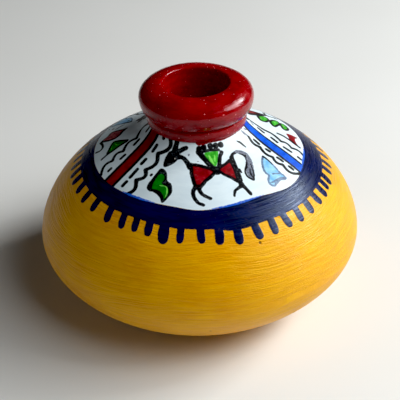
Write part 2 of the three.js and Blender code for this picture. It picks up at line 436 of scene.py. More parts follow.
# %% Grounds, band and dashes
band_top = [(-90, 24.8), (-60, 24.9), (-38, 24.7), (-15, 25), (0, 26.1), (16, 25.5), (32, 25.2), (42, 26.2),
            (50, 27.2), (60, 27.3), (75, 25.9), (90, 25.8), (130, 25.4), (170, 26.0), (210, 25.2),
            (240, 25.6)]
band_foot = [(-90, 31.2), (-60, 31.4), (-30, 31.7), (-12, 32.7), (6, 33.2), (15, 34.5), (30, 34.0),
             (50, 34.6), (66, 34.4), (90, 34.4), (130, 33.4), (170, 32.6), (215, 32.4), (245, 31.6)]


def round_pot(points, azimuth):
    """A smooth closed curve of slope against azimuth: Catmull-Rom through the points, repeated each turn."""
    curve = through([*points, (points[0][0] + 360, points[0][1])], steps=10)
    return np.interp((azimuth - points[0][0]) % 360 + points[0][0], curve[:, 0], curve[:, 1])


top_edge = round_pot(band_top, sheet_azimuth)
foot_edge_of_band = round_pot(band_foot, sheet_azimuth)
paint_layers["white"] = sheet_slope - top_edge
paint_layers["navy"] = np.maximum(top_edge - sheet_slope, sheet_slope - foot_edge_of_band)

front_dashes = [-84.8, -77.8, -70.5, -62.1, -53.7, -44.1, -35.9, -29, -22.5, -15.6, -8.2, 0.1, 8.2, 15.8,
                23.8, 32, 38.5, 46.2, 53.5, 60.1, 67, 72.2, 77.5, 84.4, 90.2]
dashes = np.concatenate([front_dashes, np.linspace(97.2, 269, 25)])
brush_hand = np.random.default_rng(7)
for azimuth in dashes:
    start = float(round_pot(band_foot, np.array([azimuth]))[0])
    length = 4.9 + brush_hand.uniform(-0.5, 0.5)
    lean = brush_hand.uniform(-0.4, 0.9)
    width = 3.0 + brush_hand.uniform(-0.35, 0.35) + (0.9 if azimuth == -15.6 else 0)
    stroke = [(azimuth, start - 1), (azimuth + lean / 2, start + length / 2),
              (azimuth + lean, start + length - 1)]
    line("navy", stroke, width=[width * 0.9, width, width * 0.92])
for first, last in [(-46, -22), (4, 36), (66, 92), (150, 190)]:
    reach = np.linspace(first, last, 8)
    edge = np.stack([reach, round_pot(band_top, reach) - 0.1], axis=1)
    line("bright edge", edge, width=[0.1, 0.5, 0.7, 0.8, 0.9, 0.7, 0.5, 0.1])
print(len(dashes), "dashes hang from the band")

# %% [markdown]
# Broad stripes run down from the collar and part the shoulder into panels. Each has a dark line on both
# sides, then a column of dashes, then a scalloped line. The scallops all hang the same way, as arcs that
# meet in points.

# %% Stripes


def stripe(layer, middle, width=3.7, border=1.1):
    """A filled band along a line of (azimuth, slope), with a black border on each side."""
    middle = through(middle)
    line(layer, middle, width=width, smooth=False)
    half = np.degrees((width + border * 0.7) / 2 / radius_at(middle[:, 1]))
    for side in (-1, 1):
        line("black", middle + np.stack([side * half, 0 * half], axis=1), width=border, smooth=False)


def scallops(cusps, bulge, width=1.05):
    """A line of arcs from cusp to cusp, each pushed out sideways by its bulge: degrees * sin(pi t)."""
    t = np.linspace(0, 1, 7)
    for (a0, s0), (a1, s1), push in zip(cusps[:-1], cusps[1:], np.broadcast_to(bulge, len(cusps) - 1)):
        arc = np.stack([a0 + (a1 - a0) * t + push * np.sin(np.pi * t), s0 + (s1 - s0) * t], axis=1)
        line("black", arc, width=width)


def column(dashes, width=1.15):
    """Short straight dashes, each from one (azimuth, slope) to another."""
    for a0, s0, a1, s1 in dashes:
        line("black", [(a0, s0), (a1, s1)], width=width, smooth=False)


def banded_stripe(layer, shift=0.0):
    """A straight stripe with dashes and scallops on both sides, for a panel's border elsewhere on the pot."""
    stripe(layer, [(shift, -1), (shift + 0.8, 12), (shift, 27)])
    for side in (-1, 1):
        marks = [(14.5, 1.2, 14, 3.4), (12.5, 6.4, 12, 9.4), (10.8, 12.6, 10.5, 15.6), (9.4, 18.8, 9.2, 21.8)]
        column([(shift + side * a0, s0, shift + side * a1, s1) for a0, s0, a1, s1 in marks])
        cusps = [(23, 0), (19.5, 6.4), (17, 13), (15.2, 19), (13.6, 25.5)]
        scallops([(shift + side * a, s) for a, s in cusps], side * 2.6)


stripe("red", [(-61.6, -1), (-59.5, 5), (-58, 10), (-56.3, 15), (-55.7, 20), (-55.7, 26)], width=4.1)
column([(-76.2, 0.3, -75.8, 2.4), (-73.8, 6.5, -71.6, 8.8), (-66.9, 13.7, -65.9, 15.7),
        (-64, 20.6, -63.8, 21.8)])
scallops([(-84, 0.2), (-78.2, 7.0), (-72, 13.4), (-69.4, 18.5), (-65.5, 24.8)], [-8, -4.5, -3, -3],
         width=1.15)
column([(-43.6, -0.2, -42.4, 0.4), (-46.8, 3.8, -46.6, 6.2), (-47, 10.2, -46.9, 12.3),
        (-46.2, 15, -46.2, 18.8), (-46.2, 20.9, -46.6, 22.8)], width=1.3)
scallops([(-33.6, -0.4), (-40.0, 6.3), (-40.3, 13.8), (-41.2, 18.8), (-41.2, 25.2)], [6, 4.3, 3.6, 3],
         width=1.4)

stripe("blue", [(80.5, -1), (78.6, 5), (74.9, 10), (71.8, 15), (70.3, 20), (69.1, 27)], width=3.9, border=0.8)
column([(66.9, 6.5, 66.2, 8.7), (65.4, 12, 65.3, 13.4), (64.2, 17, 64.2, 19.2), (63.9, 22.2, 63.9, 24)],
       width=1.1)
scallops([(64.5, 4.4), (63.3, 9.8), (61.7, 15.6), (61.6, 20.1)], -2.1, width=1.1)
line("black", [(61.6, 20.1), (60.5, 21.6), (60.2, 23.4), (61.8, 25.2), (65.2, 27)], width=1.1)
column([(90.2, 6.8, 87, 9), (83.8, 12.2, 81, 14.5), (78.9, 17.4, 78.1, 20.4), (77, 23.6, 76.6, 24.8)],
       width=1.1)
scallops([(98.5, 0), (92.4, 9.2), (84.4, 16.0), (82.5, 20.4), (81.2, 26)], 1.9, width=1.1)
line("grey", [(61.4, 0.8), (63, 2.2), (65.4, 4.4)], width=[0.5, 1.1, 0.5])
line("grey", [(68, 1.1), (70.4, 1.9)], width=0.7)
line("grey", [(90.9, 4.5), (94, 3.6)], width=0.8)
line("black", [(92.4, 0.6), (95.5, 2.2)], width=0.8)
banded_stripe("green", shift=208)
print("three stripes part the shoulder")

# %% [markdown]
# The front panel holds a horned animal with two red triangles for its body, a green crown above its waist,
# a long brushed tail and two paisleys. The figures are functions of a shift in azimuth, so the same hand can
# draw relatives of them in the panels at the back.

# %% Horned animal


def placed(shift, facing=1):
    """Moves a figure's points round the pot by a shift in degrees, and mirrors them when facing is -1."""
    return lambda *points: [(shift + facing * a, s) for a, s in points]


def horned_animal(shift=0.0, facing=1):
    """An animal in profile, drawn about its own azimuth. Facing -1 draws it the other way round."""
    at = placed(shift, facing)
    fill("black", at((-29.6, 4.6), (-30.6, 6.8), (-29.4, 9.4), (-27.7, 10.4), (-25.2, 9.9), (-22.6, 8.9),
                     (-19.8, 7.4), (-17.6, 5.4), (-19.5, 4.0), (-23.6, 3.4), (-27.2, 3.8)))
    line("black", at((-24.4, 4.6), (-24.2, 2.2), (-24.0, -0.4)), width=[1.9, 1.9, 1.6])
    line("black", at((-22.8, 4.0), (-18.6, 3.3), (-15.0, 2.4), (-12.6, 2.0)), width=[2.2, 1.7, 1.6, 1.5])
    line("black", at((-19.5, 5.6), (-15.8, 5.5), (-12.0, 6.2), (-8.6, 7.8), (-7.0, 9.4)),
         width=[2.0, 1.5, 1.4, 1.6, 1.4])
    dot("eye", shift + facing * -21.3, 6.4, 0.25)

    chest = at((-5.9, 8.0), (1.2, 8.5), (9.4, 10.0), (13.2, 11.4), (9.2, 13.2), (4.6, 14.9), (1.2, 17.2),
               (-1.6, 17.6), (-3.4, 14.8), (-5.0, 11.6))
    fill("red", chest, outline="black", width=1.25, smooth=False)
    rump = at((14.6, 11.0), (18.4, 10.0), (23.4, 9.2), (28.4, 8.2), (27.6, 12.0), (26.3, 15.6), (25.2, 17.4),
              (22.2, 15.2), (18.6, 13.4))
    fill("red", rump, outline="black", width=1.0, smooth=False)
    line("black", at((29.9, 7.4), (29.4, 11.0), (28.4, 14.6), (26.9, 18.0)), width=0.6)
    line("black", at((32.0, 7.4), (30.6, 10.4), (29.4, 13.6), (27.8, 17.4)), width=0.75)
    fill("black", at((11.4, 9.6), (16.6, 9.8), (16.0, 12.6), (13.0, 12.8), (11.2, 12.0)))

    line("black", at((-1.8, 17.0), (-3.2, 18.6), (-3.3, 20.0), (-2.4, 21.6), (-0.4, 23.4), (2.2, 24.2)),
         width=[1.6, 1.4, 1.3, 1.2, 1.1, 1.0])
    line("black", at((0.2, 17.0), (0.4, 18.4), (1.6, 19.9), (3.8, 21.0), (6.2, 21.9)),
         width=[1.6, 1.4, 1.2, 1.1, 1.1])
    line("black", at((26.0, 16.8), (26.0, 19.0), (23.6, 19.8), (21.2, 20.5), (20.2, 21.4), (19.5, 22.4)),
         width=[1.1, 1.5, 1.0, 0.95, 0.85, 0.6])
    line("black", at((26.2, 16.8), (26.8, 18.8), (27.8, 21.0), (28.8, 23.2)), width=[1.4, 1.4, 1.2, 1.2])
    line("black", at((31.1, 12.9), (30.9, 14.3)), width=0.6, smooth=False)


# %% [markdown]
# The tail was laid with a nearly dry brush, so it's a grey wash under thin dark streaks. The crown is a
# bright wedge that keeps clear of the black round it.

# %% Tail and crown


def brushed_tail(shift=0.0, facing=1):
    """A tail that rises, turns over and ends in a tuft: a grey wash with drier dark streaks in it."""
    at = placed(shift, facing)
    spine = at((30.6, 7.9), (34.4, 6.6), (38.4, 6.3), (42.2, 7.2), (44.2, 8.8), (43.2, 10.8), (40.4, 12.9),
               (37.2, 15.2), (35.4, 17.9))
    line("grey", spine, width=[0.7, 1.0, 1.4, 1.8, 2.2, 2.3, 2.8, 3.1, 1.6])
    line("black", at((29.8, 7.6), (32.8, 6.7), (35.2, 6.3), (37.0, 6.9)), width=[0.9, 0.9, 0.7, 0.2])
    line("black", at((39.4, 7.2), (42.0, 8.2), (42.6, 9.2), (40.6, 11.1), (37.2, 13.0)),
         width=[0.1, 0.5, 0.35, 0.3, 0.7])
    line("black", at((44.8, 8.6), (43.8, 9.1), (42.4, 9.2)), width=[0.2, 0.4, 0.3])
    line("black", at((37.2, 13.0), (34.0, 14.4), (33.0, 16.4), (34.2, 18.0), (35.5, 18.7), (37.2, 17.4)),
         width=[0.8, 0.5, 0.6, 0.6, 0.7, 0.4])
    line("black", at((41.8, 12.6), (39.8, 15.0), (37.8, 17.2)), width=[0.3, 0.35, 0.5])
    line("black", at((38.4, 14.2), (36.2, 16.2), (36.0, 18.0)), width=[0.2, 0.5, 0.3])


def green_crown(shift=0.0):
    """A green triangle that stands on its point, with five round knobs along its top edge."""
    at = placed(shift)
    line("black", at((0.8, 3.4), (4.0, 4.9), (7.2, 6.8), (10.4, 9.0), (13.6, 10.8)),
         width=[1.9, 1.9, 1.7, 1.6, 1.5])
    line("black", at((24, 4.6), (20.6, 6.2), (17.4, 9.2), (16, 10.5)), width=1.3)
    line("black", at((3.2, 3.4), (12.4, 3.0), (21.8, 3.5)), width=0.9)
    for azimuth, slope in [(1.5, 2.2), (6.5, 1.8), (14, 1.6), (20, 1.8), (26, 1.9)]:
        dot("black", shift + azimuth, slope, 1.0)
    wedge = at((7.4, 4.2), (13, 3.9), (19.5, 4.0), (18.6, 5.4), (17.2, 6.8), (14.4, 9.0), (12.4, 8.0),
               (10.5, 6.8))
    fill("bright green", wedge, outline="bright green", width=0.7)
    carve("black", wedge)
    line("light green", at((10.8, 5.0), (11.8, 6.6), (13.4, 8.4)), width=[0.5, 0.9, 0.4])
    line("light green", at((16.2, 5.0), (15.4, 6.4), (14.7, 7.7)), width=[0.2, 0.5, 0.3])


horned_animal()
brushed_tail()
green_crown()
print(f"black covers {(paint_layers['black'] < 0).mean():.0%} of the fine rows and columns")

# %% [markdown]
# Paisleys, leaves and berries fill the corners. Each is one closed curve with a dark outline, and some have
# a lighter touch where the brush lifted.

# %% Paisleys, leaves and berries


def green_paisley(shift=0.0):
    """A black-edged leaf with a notch. The black is carved away where the green goes."""
    at = placed(shift)
    fill("black", at((-30.0, 11.7), (-27.4, 11.3), (-24.4, 12.1), (-22.6, 13.5), (-21.4, 15.2),
                     (-20.0, 16.0), (-18.0, 16.5), (-16.5, 17.9), (-15.8, 19.8), (-17.0, 21.8),
                     (-19.5, 24.3), (-21.4, 22.7), (-23.7, 21.6), (-26.8, 20.9), (-29.2, 21.0),
                     (-31.4, 20.2), (-32.1, 18.6), (-31.5, 16.4), (-30.9, 14.0)))
    heart = at((-28.7, 14.3), (-26.8, 13.4), (-24.6, 13.8), (-23.2, 15.2), (-23.9, 16.9), (-21.6, 17.6),
               (-19.6, 18.0), (-18.1, 19.4), (-17.7, 20.8), (-19.0, 22.8), (-20.7, 21.2), (-23.0, 20.1),
               (-26.0, 19.9), (-28.3, 19.8), (-29.2, 18.2), (-29.0, 16.2))
    carve("black", heart)
    fill("green", heart, outline="green", width=0.4)
    line("light green", at((-24.5, 18), (-20, 18), (-18.5, 20.5), (-19, 22.5)), width=[0.2, 0.5, 0.4, 0.2])


def sky_paisley(shift=0.0):
    """A pale blue leaf with a soft grey edge and two soft veins."""
    at = placed(shift)
    fill("sky", at((56.0, 13.2), (52.5, 13.8), (49.4, 15.1), (46.8, 16.9), (46.0, 18.4), (46.4, 19.8),
                   (43.6, 21.3), (42.8, 22.7), (44.1, 24.1), (47.4, 23.7), (50.9, 23.5), (54.2, 24.4),
                   (54.8, 23.0), (54.4, 21.6), (55.2, 18.6), (56.0, 15.4)), outline="soft grey", width=0.8)
    line("soft grey", at((49.4, 20.2), (51.6, 20.8), (54.4, 21.9)), width=0.6)
    line("soft grey", at((43.0, 22.4), (46.6, 22.8), (50.4, 22.9), (53.8, 23.6)), width=[0.4, 0.8, 0.9, 0.5])
    line("black", at((56.0, 13.0), (56.2, 14.6), (55.6, 17.4)), width=[0.9, 0.6, 0.3])


green_paisley()
sky_paisley()
fill("green", [(-83.2, 10.6), (-87.5, 13.0), (-90.6, 15.7), (-90.0, 16.6), (-85, 17.8), (-80, 19.2),
               (-79.6, 17.4), (-81.4, 14)], outline="black", width=0.9)
line("black", [(-79.6, 18.6), (-77.9, 21.9)], width=0.9)
line("light green", [(-88.0, 15.8), (-84.4, 15.0), (-82.6, 13.4)], width=[0.2, 0.5, 0.2])
line("light green", [(-86.4, 16.8), (-83.0, 17.2), (-81.0, 17.6)], width=[0.2, 0.4, 0.2])
fill("dull red", [(-100, 22.4), (-97.4, 20.3), (-95.6, 17.9), (-95.6, 15.8), (-98.2, 14.2), (-101.9, 13.6),
                  (-106.0, 12.4), (-105.9, 14.0), (-106.6, 16.2), (-107.6, 18.4), (-106.9, 19.7),
                  (-103.3, 20.1)], outline="black", width=0.9)
line("black", [(-99.1, 22.9), (-94, 21.3), (-90.1, 21.1), (-88.4, 22.3), (-89.1, 23.9)], width=0.9)
line("grey", [(-110.7, 18.6), (-113.2, 16.9), (-115.1, 15.6)], width=[0.5, 1.0, 0.5])
dot("black", -113.3, 20.4, 0.5)
dot("black", -121.5, 15.4, 0.5)

line("black", [(94.5, 15.1), (93.8, 17.1), (91.7, 19.5), (89.4, 21.9), (88.3, 23.9)], width=1.1)
fill("red", [(99.2, 19.3), (100.4, 21.5), (100.1, 22.8), (99.5, 24.3), (96.2, 22.6), (91.6, 22.7),
             (88.8, 23.6), (89.8, 21.9), (91.9, 19.7), (94.5, 19.6)])


# %% [markdown]
# The right-hand corner has three berries on a twig, and a few stray touches of the brush lie about.

# %% Berries and stray touches


def berry(ring, lights):
    """A green berry with a black skin and a light or two on it."""
    fill("bright green", ring, outline="black", width=0.85)
    for azimuth, slope in lights:
        dot("light green", azimuth, slope, 0.42)


berry([(120.6, 11.8), (111.8, 10.7), (110.8, 12.7), (115.5, 15.4), (121.1, 16.0), (122.4, 14.5)],
      [(116.7, 12), (118.2, 14.4)])
berry([(112.9, 15.3), (107.5, 14.8), (105.2, 15.4), (109.5, 17.8), (113.4, 20.0), (118.2, 20.4),
       (117.6, 18.1)], [(113.1, 17.5)])
berry([(114.0, 20.4), (106.6, 19.3), (105.0, 20.3), (108.6, 22.5), (112.1, 22.9), (115.5, 22.6)],
      [(111.3, 21.2)])
line("black", [(129.4, 13.9), (126.9, 14.9), (122.4, 14.5)], width=0.7)
line("black", [(46.7, 2.9), (49.2, 4.0), (50.9, 6.3)], width=[0.5, 0.8, 0.5])
dot("black", -33.6, 14.9, 0.5)
dot("grey", -8.8, 4.4, 0.4)
line("grey", [(-0.6, 6.8), (0.8, 6.9)], width=0.3, smooth=False)
line("navy", [(44.6, 27.0), (47.6, 28.6), (51.4, 29.6), (55.0, 29.2), (58.2, 27.6)], width=0.7)

# %% [markdown]
# The two panels at the back carry on in the same hand: another animal that faces back towards the front,
# paisleys, leaves and a small flower, so that the pot reads as one painting from every side.

# %% Back panels


def petals(azimuth, slope, layer, count=6, length=2.6):
    """A flower of short leaf strokes round a dot: petal k points along the angle 360 k / count."""
    for k in range(count):
        angle = 2 * np.pi * k / count + 0.3
        across = np.degrees(np.cos(angle) / radius_at(slope))
        reach = [(azimuth + across * d, slope + np.sin(angle) * d)
                 for d in (1.3, 1.3 + length / 2, 1.3 + length)]
        line("black", reach, width=[1.2, 2.2, 1.1])
        line(layer, reach, width=[0.5, 1.3, 0.3])
    dot("black", azimuth, slope, 0.9)
    dot("light green", azimuth, slope, 0.45)


horned_animal(shift=153, facing=-1)
green_crown(shift=126)
green_paisley(shift=197)
sky_paisley(shift=186)
petals(240, 7.0, "red", length=2.0)
for azimuth in (126, 134, 143, 151, 160, 224, 244):
    dot("black", azimuth, 23.4, 0.4)
print(f"black now covers {(paint_layers['black'] < 0).mean():.0%} of the fine rows and columns")

# %% [markdown]
# The red of the collar laps over the white in a thin uneven edge, with one small drip at the front.

# %% Red lap, and the layers go onto the mesh
lap = [(-90, -0.3), (-40, -0.2), (-6, -0.3), (-2, 0.5), (1, 1.1), (6, 0.9), (14, 0.5), (30, 0.6), (50, 0.3),
       (75, 0.4), (120, 0.6), (180, 0.2), (230, 0.4)]
paint_layers["red lap"] = sheet_slope - round_pot(lap, sheet_azimuth)

grid_size = dome_columns * len(dome_slopes)
raised = np.zeros(grid_size)
for layer, distance in paint_layers.items():
    values = np.full(len(dome.data.vertices), far_off)
    spread = 0.08 if layer == "black" else 0.0  # thin black runs out a little on either side of the brush
    values[:grid_size] = np.clip(distance.ravel() - spread, -far_off, far_off)
    set_attribute(dome, "paint " + layer, values)
    if layer != "white":
        raised = np.maximum(raised, np.clip(-distance.ravel() / 0.35, 0, 1))
print("paint layers:", ", ".join(sorted(paint_layers)))

# %% [markdown]
# Paint has a body. Each brush mark stands about 0.07 mm proud of the white, enough to catch the light along
# its edge, so the vertices under it move out along the surface.

# %% Raised paint
paint_body = 0.07  # mm
flat_points, outward = vertex_numbers(dome), vertex_numbers(dome, "normal")
lift = np.zeros((len(flat_points), 1), dtype=np.float32)
seam_fade = np.clip((belly_slope - np.repeat(dome_slopes, dome_columns)) / 4, 0, 1)
lift[:grid_size, 0] = raised * paint_body * MM * seam_fade
dome.data.vertices.foreach_set("co", (flat_points + outward * lift).ravel())
dome.data.update()
print(f"{(lift > 0).mean():.0%} of the shoulder's vertices stand up as paint")

# %% [markdown]
# ## Collar and rim
# The collar is a short band with a soft bulge. The rim is a fat roll whose outside is two quarter ellipses,
# a low one that tucks in under it and a wide one that comes over the top, closed by the small roll of the
# lip. Both are turned from the same few radii as the solids that they stand for.

# %% Collar and rim
collar_middle = (ledge_z + collar_top_z) / 2
collar_band = ellipse_arc(collar_foot_radius, collar_middle, collar_radius - collar_foot_radius,
                          (collar_top_z - ledge_z) / 2, -90, 90, 28)
collar_bore = np.stack([np.full(6, throat_radius), np.linspace(collar_top_z, ledge_z, 6)], axis=1)
collar_profile = np.vstack([collar_band, collar_bore])
collar = turned("red_collar", collar_profile, 360)
set_brush_way(collar, collar_profile)

waist_z = collar_top_z + rim_waist * (rim_top_z - collar_top_z)
crown_radius = throat_radius + lip_radius
under_roll = ellipse_arc(collar_foot_radius, waist_z, rim_radius - collar_foot_radius,
                         waist_z - collar_top_z, -90, 0, 26)
over_roll = ellipse_arc(crown_radius, waist_z, rim_radius - crown_radius, rim_top_z - waist_z, 0, 90, 34)
lip_roll = ellipse_arc(crown_radius, rim_top_z - lip_radius, lip_radius, lip_radius, 90, 180, 16)
bore_heights = np.linspace(rim_top_z - lip_radius, collar_top_z, 14)[1:]
rim_bore = np.stack([throat_radius + 0.05 * np.sin(bore_heights * 2.1), bore_heights], axis=1)
rim_profile = np.vstack([under_roll, over_roll[1:], lip_roll[1:], rim_bore])
rim = turned("red_rim", rim_profile, 420)
set_brush_way(rim, rim_profile)

# %% [markdown]
# ## The burner
# The cup, the tube and the ring are spun and turned from brass. Sheet metal never has a true sharp corner,
# so each corner of a profile is eased with a small quadratic curve before it's turned.

# %% Burner sizes from the frame
cup_low, cup_high = box_mm("drip_cup")
tube_low, tube_high = box_mm("wick_tube")
ring_low, ring_high = box_mm("lock_ring")
wick_low, wick_high = box_mm("cotton_wick")
sheet, drop_in, cup_taper = 0.8, 0.6, 0.7
flange_radius = cup_high[0]
cup_wall = ledge_radius - drop_in
bead_radius, tube_wall = tube_high[0], 0.45
tube_radius = bead_radius - 1.3
cup_floor = cup_low[2] + sheet
hole_radius = 1.0
print(f"flange {2 * flange_radius:.1f} mm across, tube {2 * tube_radius:.1f} mm, floor at {cup_floor:.1f} mm")


def eased(corners, ease, steps=4):
    """Replaces each corner of a closed profile by a quadratic curve that starts and ends some mm from it."""
    p = np.asarray(corners, dtype=float)
    before, after = np.roll(p, 1, axis=0) - p, np.roll(p, -1, axis=0) - p
    starts, ends = (p + way * np.minimum(ease / np.hypot(*way.T), 0.45)[:, None] for way in (before, after))
    t = np.linspace(0, 1, steps)[None, :, None]
    start, end = starts[:, None], ends[:, None]
    return ((1 - t) ** 2 * start + 2 * t * (1 - t) * p[:, None] + t**2 * end).reshape(-1, 2)


# %% Drip cup with its return holes
cup_profile = eased([
    (tube_radius + 0.1, cup_low[2]),
    (cup_wall - cup_taper, cup_low[2]),
    (cup_wall, ledge_z),
    (flange_radius, ledge_z),
    (flange_radius, cup_high[2]),
    (cup_wall - sheet, cup_high[2]),
    (cup_wall - cup_taper - sheet, cup_floor),
    (tube_radius + 0.1, cup_floor),
], ease=0.45)
cup = turned("brass_drip_cup", cup_profile, 192, wander=False)
hole_ring = (bead_radius + cup_wall - cup_taper - sheet) / 2
for k in range(3):
    angle = math.radians(90 + 120 * k)
    around = np.radians(np.arange(40) * 9)
    rim_of_punch = np.stack([hole_ring * math.cos(angle) + hole_radius * np.cos(around),
                             hole_ring * math.sin(angle) + hole_radius * np.sin(around)], axis=1)
    ends = [np.column_stack([rim_of_punch, np.full(40, z)]) for z in (cup_low[2] - 1, cup_floor + 1)]
    side = grid_faces(2, 40)
    punch_points = np.vstack(ends)
    punch_faces = point_outwards(punch_points, [side, np.arange(40)[None, ::-1], 40 + np.arange(40)[None, :]])
    punch = mesh_object("punch", punch_points, punch_faces)
    cut = cup.modifiers.new("return hole", "BOOLEAN")
    cut.operation, cut.solver, cut.object = "DIFFERENCE", "EXACT", punch
    finished = bpy.data.meshes.new_from_object(cup.evaluated_get(bpy.context.evaluated_depsgraph_get()))
    cup.modifiers.clear()
    cup.data = finished
    bpy.data.objects.remove(punch)
cup.data.shade_smooth()
cup.data.set_sharp_from_angle(angle=math.radians(35))
print("drip cup:", len(cup.data.polygons), "faces with three return holes")

# %% [markdown]
# The lock ring is gripped with finger tips, so its edge is knurled: the outer radius dips along a fine wave
# round the ring. The tube has a bead that stands on the cup's floor.

# %% Tube and lock ring
tube = turned("brass_wick_tube", eased([
    (tube_radius - tube_wall, tube_low[2]),
    (tube_radius, tube_low[2]),
    (tube_radius, cup_floor),
    (bead_radius, cup_floor),
    (bead_radius, cup_floor + 0.6),
    (tube_radius, cup_floor + 1.2),
    (tube_radius, tube_high[2]),
    (tube_radius - tube_wall, tube_high[2]),
], ease=0.18), 96, wander=False)

ring_radius, ring_bore = ring_high[0], tube_radius + 0.1
ring_ease = 0.475
lock_ring = turned("brass_lock_ring", eased([
    (ring_bore, ring_low[2]),
    (ring_radius - ring_ease, ring_low[2]),
    (ring_radius, ring_low[2] + ring_ease),
    (ring_radius, ring_high[2]),
    (ring_bore, ring_high[2]),
], ease=0.12), 288, wander=False)
ring_points = vertex_numbers(lock_ring)
from_axis = np.hypot(ring_points[:, 0], ring_points[:, 1])
round_turn = np.arctan2(ring_points[:, 1], ring_points[:, 0])
knurl = 0.13 * MM * np.abs(np.sin(18 * round_turn)) * (from_axis > (ring_radius - 0.3) * MM)
ring_points[:, :2] *= (1 - knurl / from_axis)[:, None]
lock_ring.data.vertices.foreach_set("co", ring_points.ravel())
lock_ring.data.update()
print("lock ring knurled, at most", f"{knurl.max() / MM:.2f} mm deep")

# %% [markdown]
# ## The wick
# Three cotton plies are twisted together. Across, three plies give three lobes with sharp valleys, which is
# |cos(1.5 angle)|. Turning that section as it climbs gives the twist. Loose fibres stand up at the tip.

# %% Twisted wick
wick_radius = wick_high[0]
wick_rows, wick_columns = 300, 60
twist_pitch = 7.5  # mm for one full turn
climb = np.linspace(wick_low[2], wick_high[2] - 0.5, wick_rows)[:, None]
round_wick = np.arange(wick_columns)[None, :] * 2 * np.pi / wick_columns
laid = round_wick + 2 * np.pi * climb / twist_pitch
lobes = 0.84 + 0.16 * np.abs(np.cos(1.5 * laid)) ** 0.8
fray = np.clip((climb - (wick_high[2] - 2.4)) / 2, 0, 1)
cut_end = np.clip((climb - wick_low[2]) / 0.4, 0.6, 1)
fuzz = 0.02 * np.sin(9 * round_wick + climb * 31) + 0.015 * np.sin(14 * round_wick - climb * 47)
section = wick_radius * (lobes + fuzz - 0.03) * (1 - 0.5 * fray**2) * cut_end
wick_points = np.stack([section * np.cos(round_wick), section * np.sin(round_wick), climb + 0 * section],
                       axis=-1)
wick_points = wick_points.reshape(-1, 3)
wick_side = grid_faces(wick_rows, wick_columns)
ends = [[0, 0, climb[0, 0]], [0, 0, climb[-1, 0] + 0.25]]
ring_of = np.arange(wick_columns)
last_ring = (wick_rows - 1) * wick_columns
next_of, pole = np.roll(ring_of, -1), np.full(wick_columns, len(wick_points))
caps = [np.stack([ring_of, next_of, pole], axis=1),
        np.stack([last_ring + next_of, last_ring + ring_of, pole + 1], axis=1)]
wick_points = np.vstack([wick_points, ends])
wick_faces = point_outwards(wick_points, [wick_side, *caps])


def fibres(count, seed):
    """Thin four-sided spikes that stand up from the wick's tip, as one block of points and faces."""
    hand = np.random.default_rng(seed)
    turn, out = hand.uniform(0, 2 * np.pi, count), hand.uniform(0.1, 0.8, count)
    root = np.stack([out * np.cos(turn), out * np.sin(turn), np.full(count, wick_high[2] - 0.9)], axis=1)
    lean = np.stack([np.cos(turn), np.sin(turn), np.zeros(count)], axis=1) * hand.uniform(0, 0.7, count)[:,
                                                                                                         None]
    tip = root + lean + [0, 0, 0.88]
    thick = 0.05
    square = thick * np.array([[1, 0, 0], [0, 1, 0], [-1, 0, 0], [0, -1, 0]])
    base = root[:, None] + square[None]
    points = np.concatenate([base, tip[:, None]], axis=1).reshape(-1, 3)
    start = 5 * np.arange(count)[:, None]
    sides = np.concatenate([start + [k, (k + 1) % 4, 4] for k in range(4)])
    return points, sides, start + [3, 2, 1, 0]


fibre_points, fibre_sides, fibre_bases = fibres(46, seed=3)
offset = len(wick_points)
wick_faces += [fibre_sides + offset, fibre_bases + offset]
wick = mesh_object("twisted_wick", np.vstack([wick_points, fibre_points]), wick_faces, smooth_below=60)
print("wick:", len(wick.data.polygons), "faces, twisted once every", twist_pitch, "mm")

# %% [markdown]
# ## Materials
# A material is a small network of nodes. A few helpers keep the code short: they add a node and link or set
# its inputs, do sums, mix colours, and start a node group with named inputs and outputs. Colours are written
# as a painter would pick them on a screen, from 0 to 255, and turned into the linear light that Blender
# mixes.

# %% Node helpers


def screen(red, green, blue):
    """A screen colour as linear light: ((c + 0.055) / 1.055) ** 2.4, or c / 12.92 for dark values."""
    shares = (red / 255, green / 255, blue / 255)
    return (*[c / 12.92 if c <= 0.04045 else ((c + 0.055) / 1.055) ** 2.4 for c in shares], 1.0)


def add_node(tree, kind, inputs, **choices):
    """Adds a shader node, sets its choices, and links or sets its inputs."""
    node = tree.nodes.new("ShaderNode" + kind)
    for name, value in choices.items():
        setattr(node, name, value)
    for key, value in inputs.items():
        if isinstance(value, bpy.types.NodeSocket):
            tree.links.new(value, node.inputs[key])
        else:
            node.inputs[key].default_value = value
    return node


def put(tree, kind, inputs, out=0, **choices):
    """Adds a shader node and returns one of its outputs."""
    return add_node(tree, kind, inputs, **choices).outputs[out]


def sums(tree, operation, a, b=0.0, c=0.0):
    """Arithmetic on one, two or three values."""
    return put(tree, "Math", {0: a, 1: b, 2: c}, operation=operation)


def times(tree, a, b):
    """One value multiplied by another."""
    return sums(tree, "MULTIPLY", a, b)


def split(tree, vector):
    """The x, y and z of a vector."""
    return add_node(tree, "SeparateXYZ", {0: vector}).outputs


def mixed(tree, mask, under, over):
    """One colour laid over another where the mask is 1."""
    return put(tree, "Mix", {0: mask, 6: under, 7: over}, out=2, data_type="RGBA")


def ramp(tree, value, low, high, to_low=0.0, to_high=1.0):
    """A smooth step from one value to another."""
    inputs = {0: value, 1: low, 2: high, 3: to_low, 4: to_high}
    return put(tree, "MapRange", inputs, interpolation_type="SMOOTHSTEP")


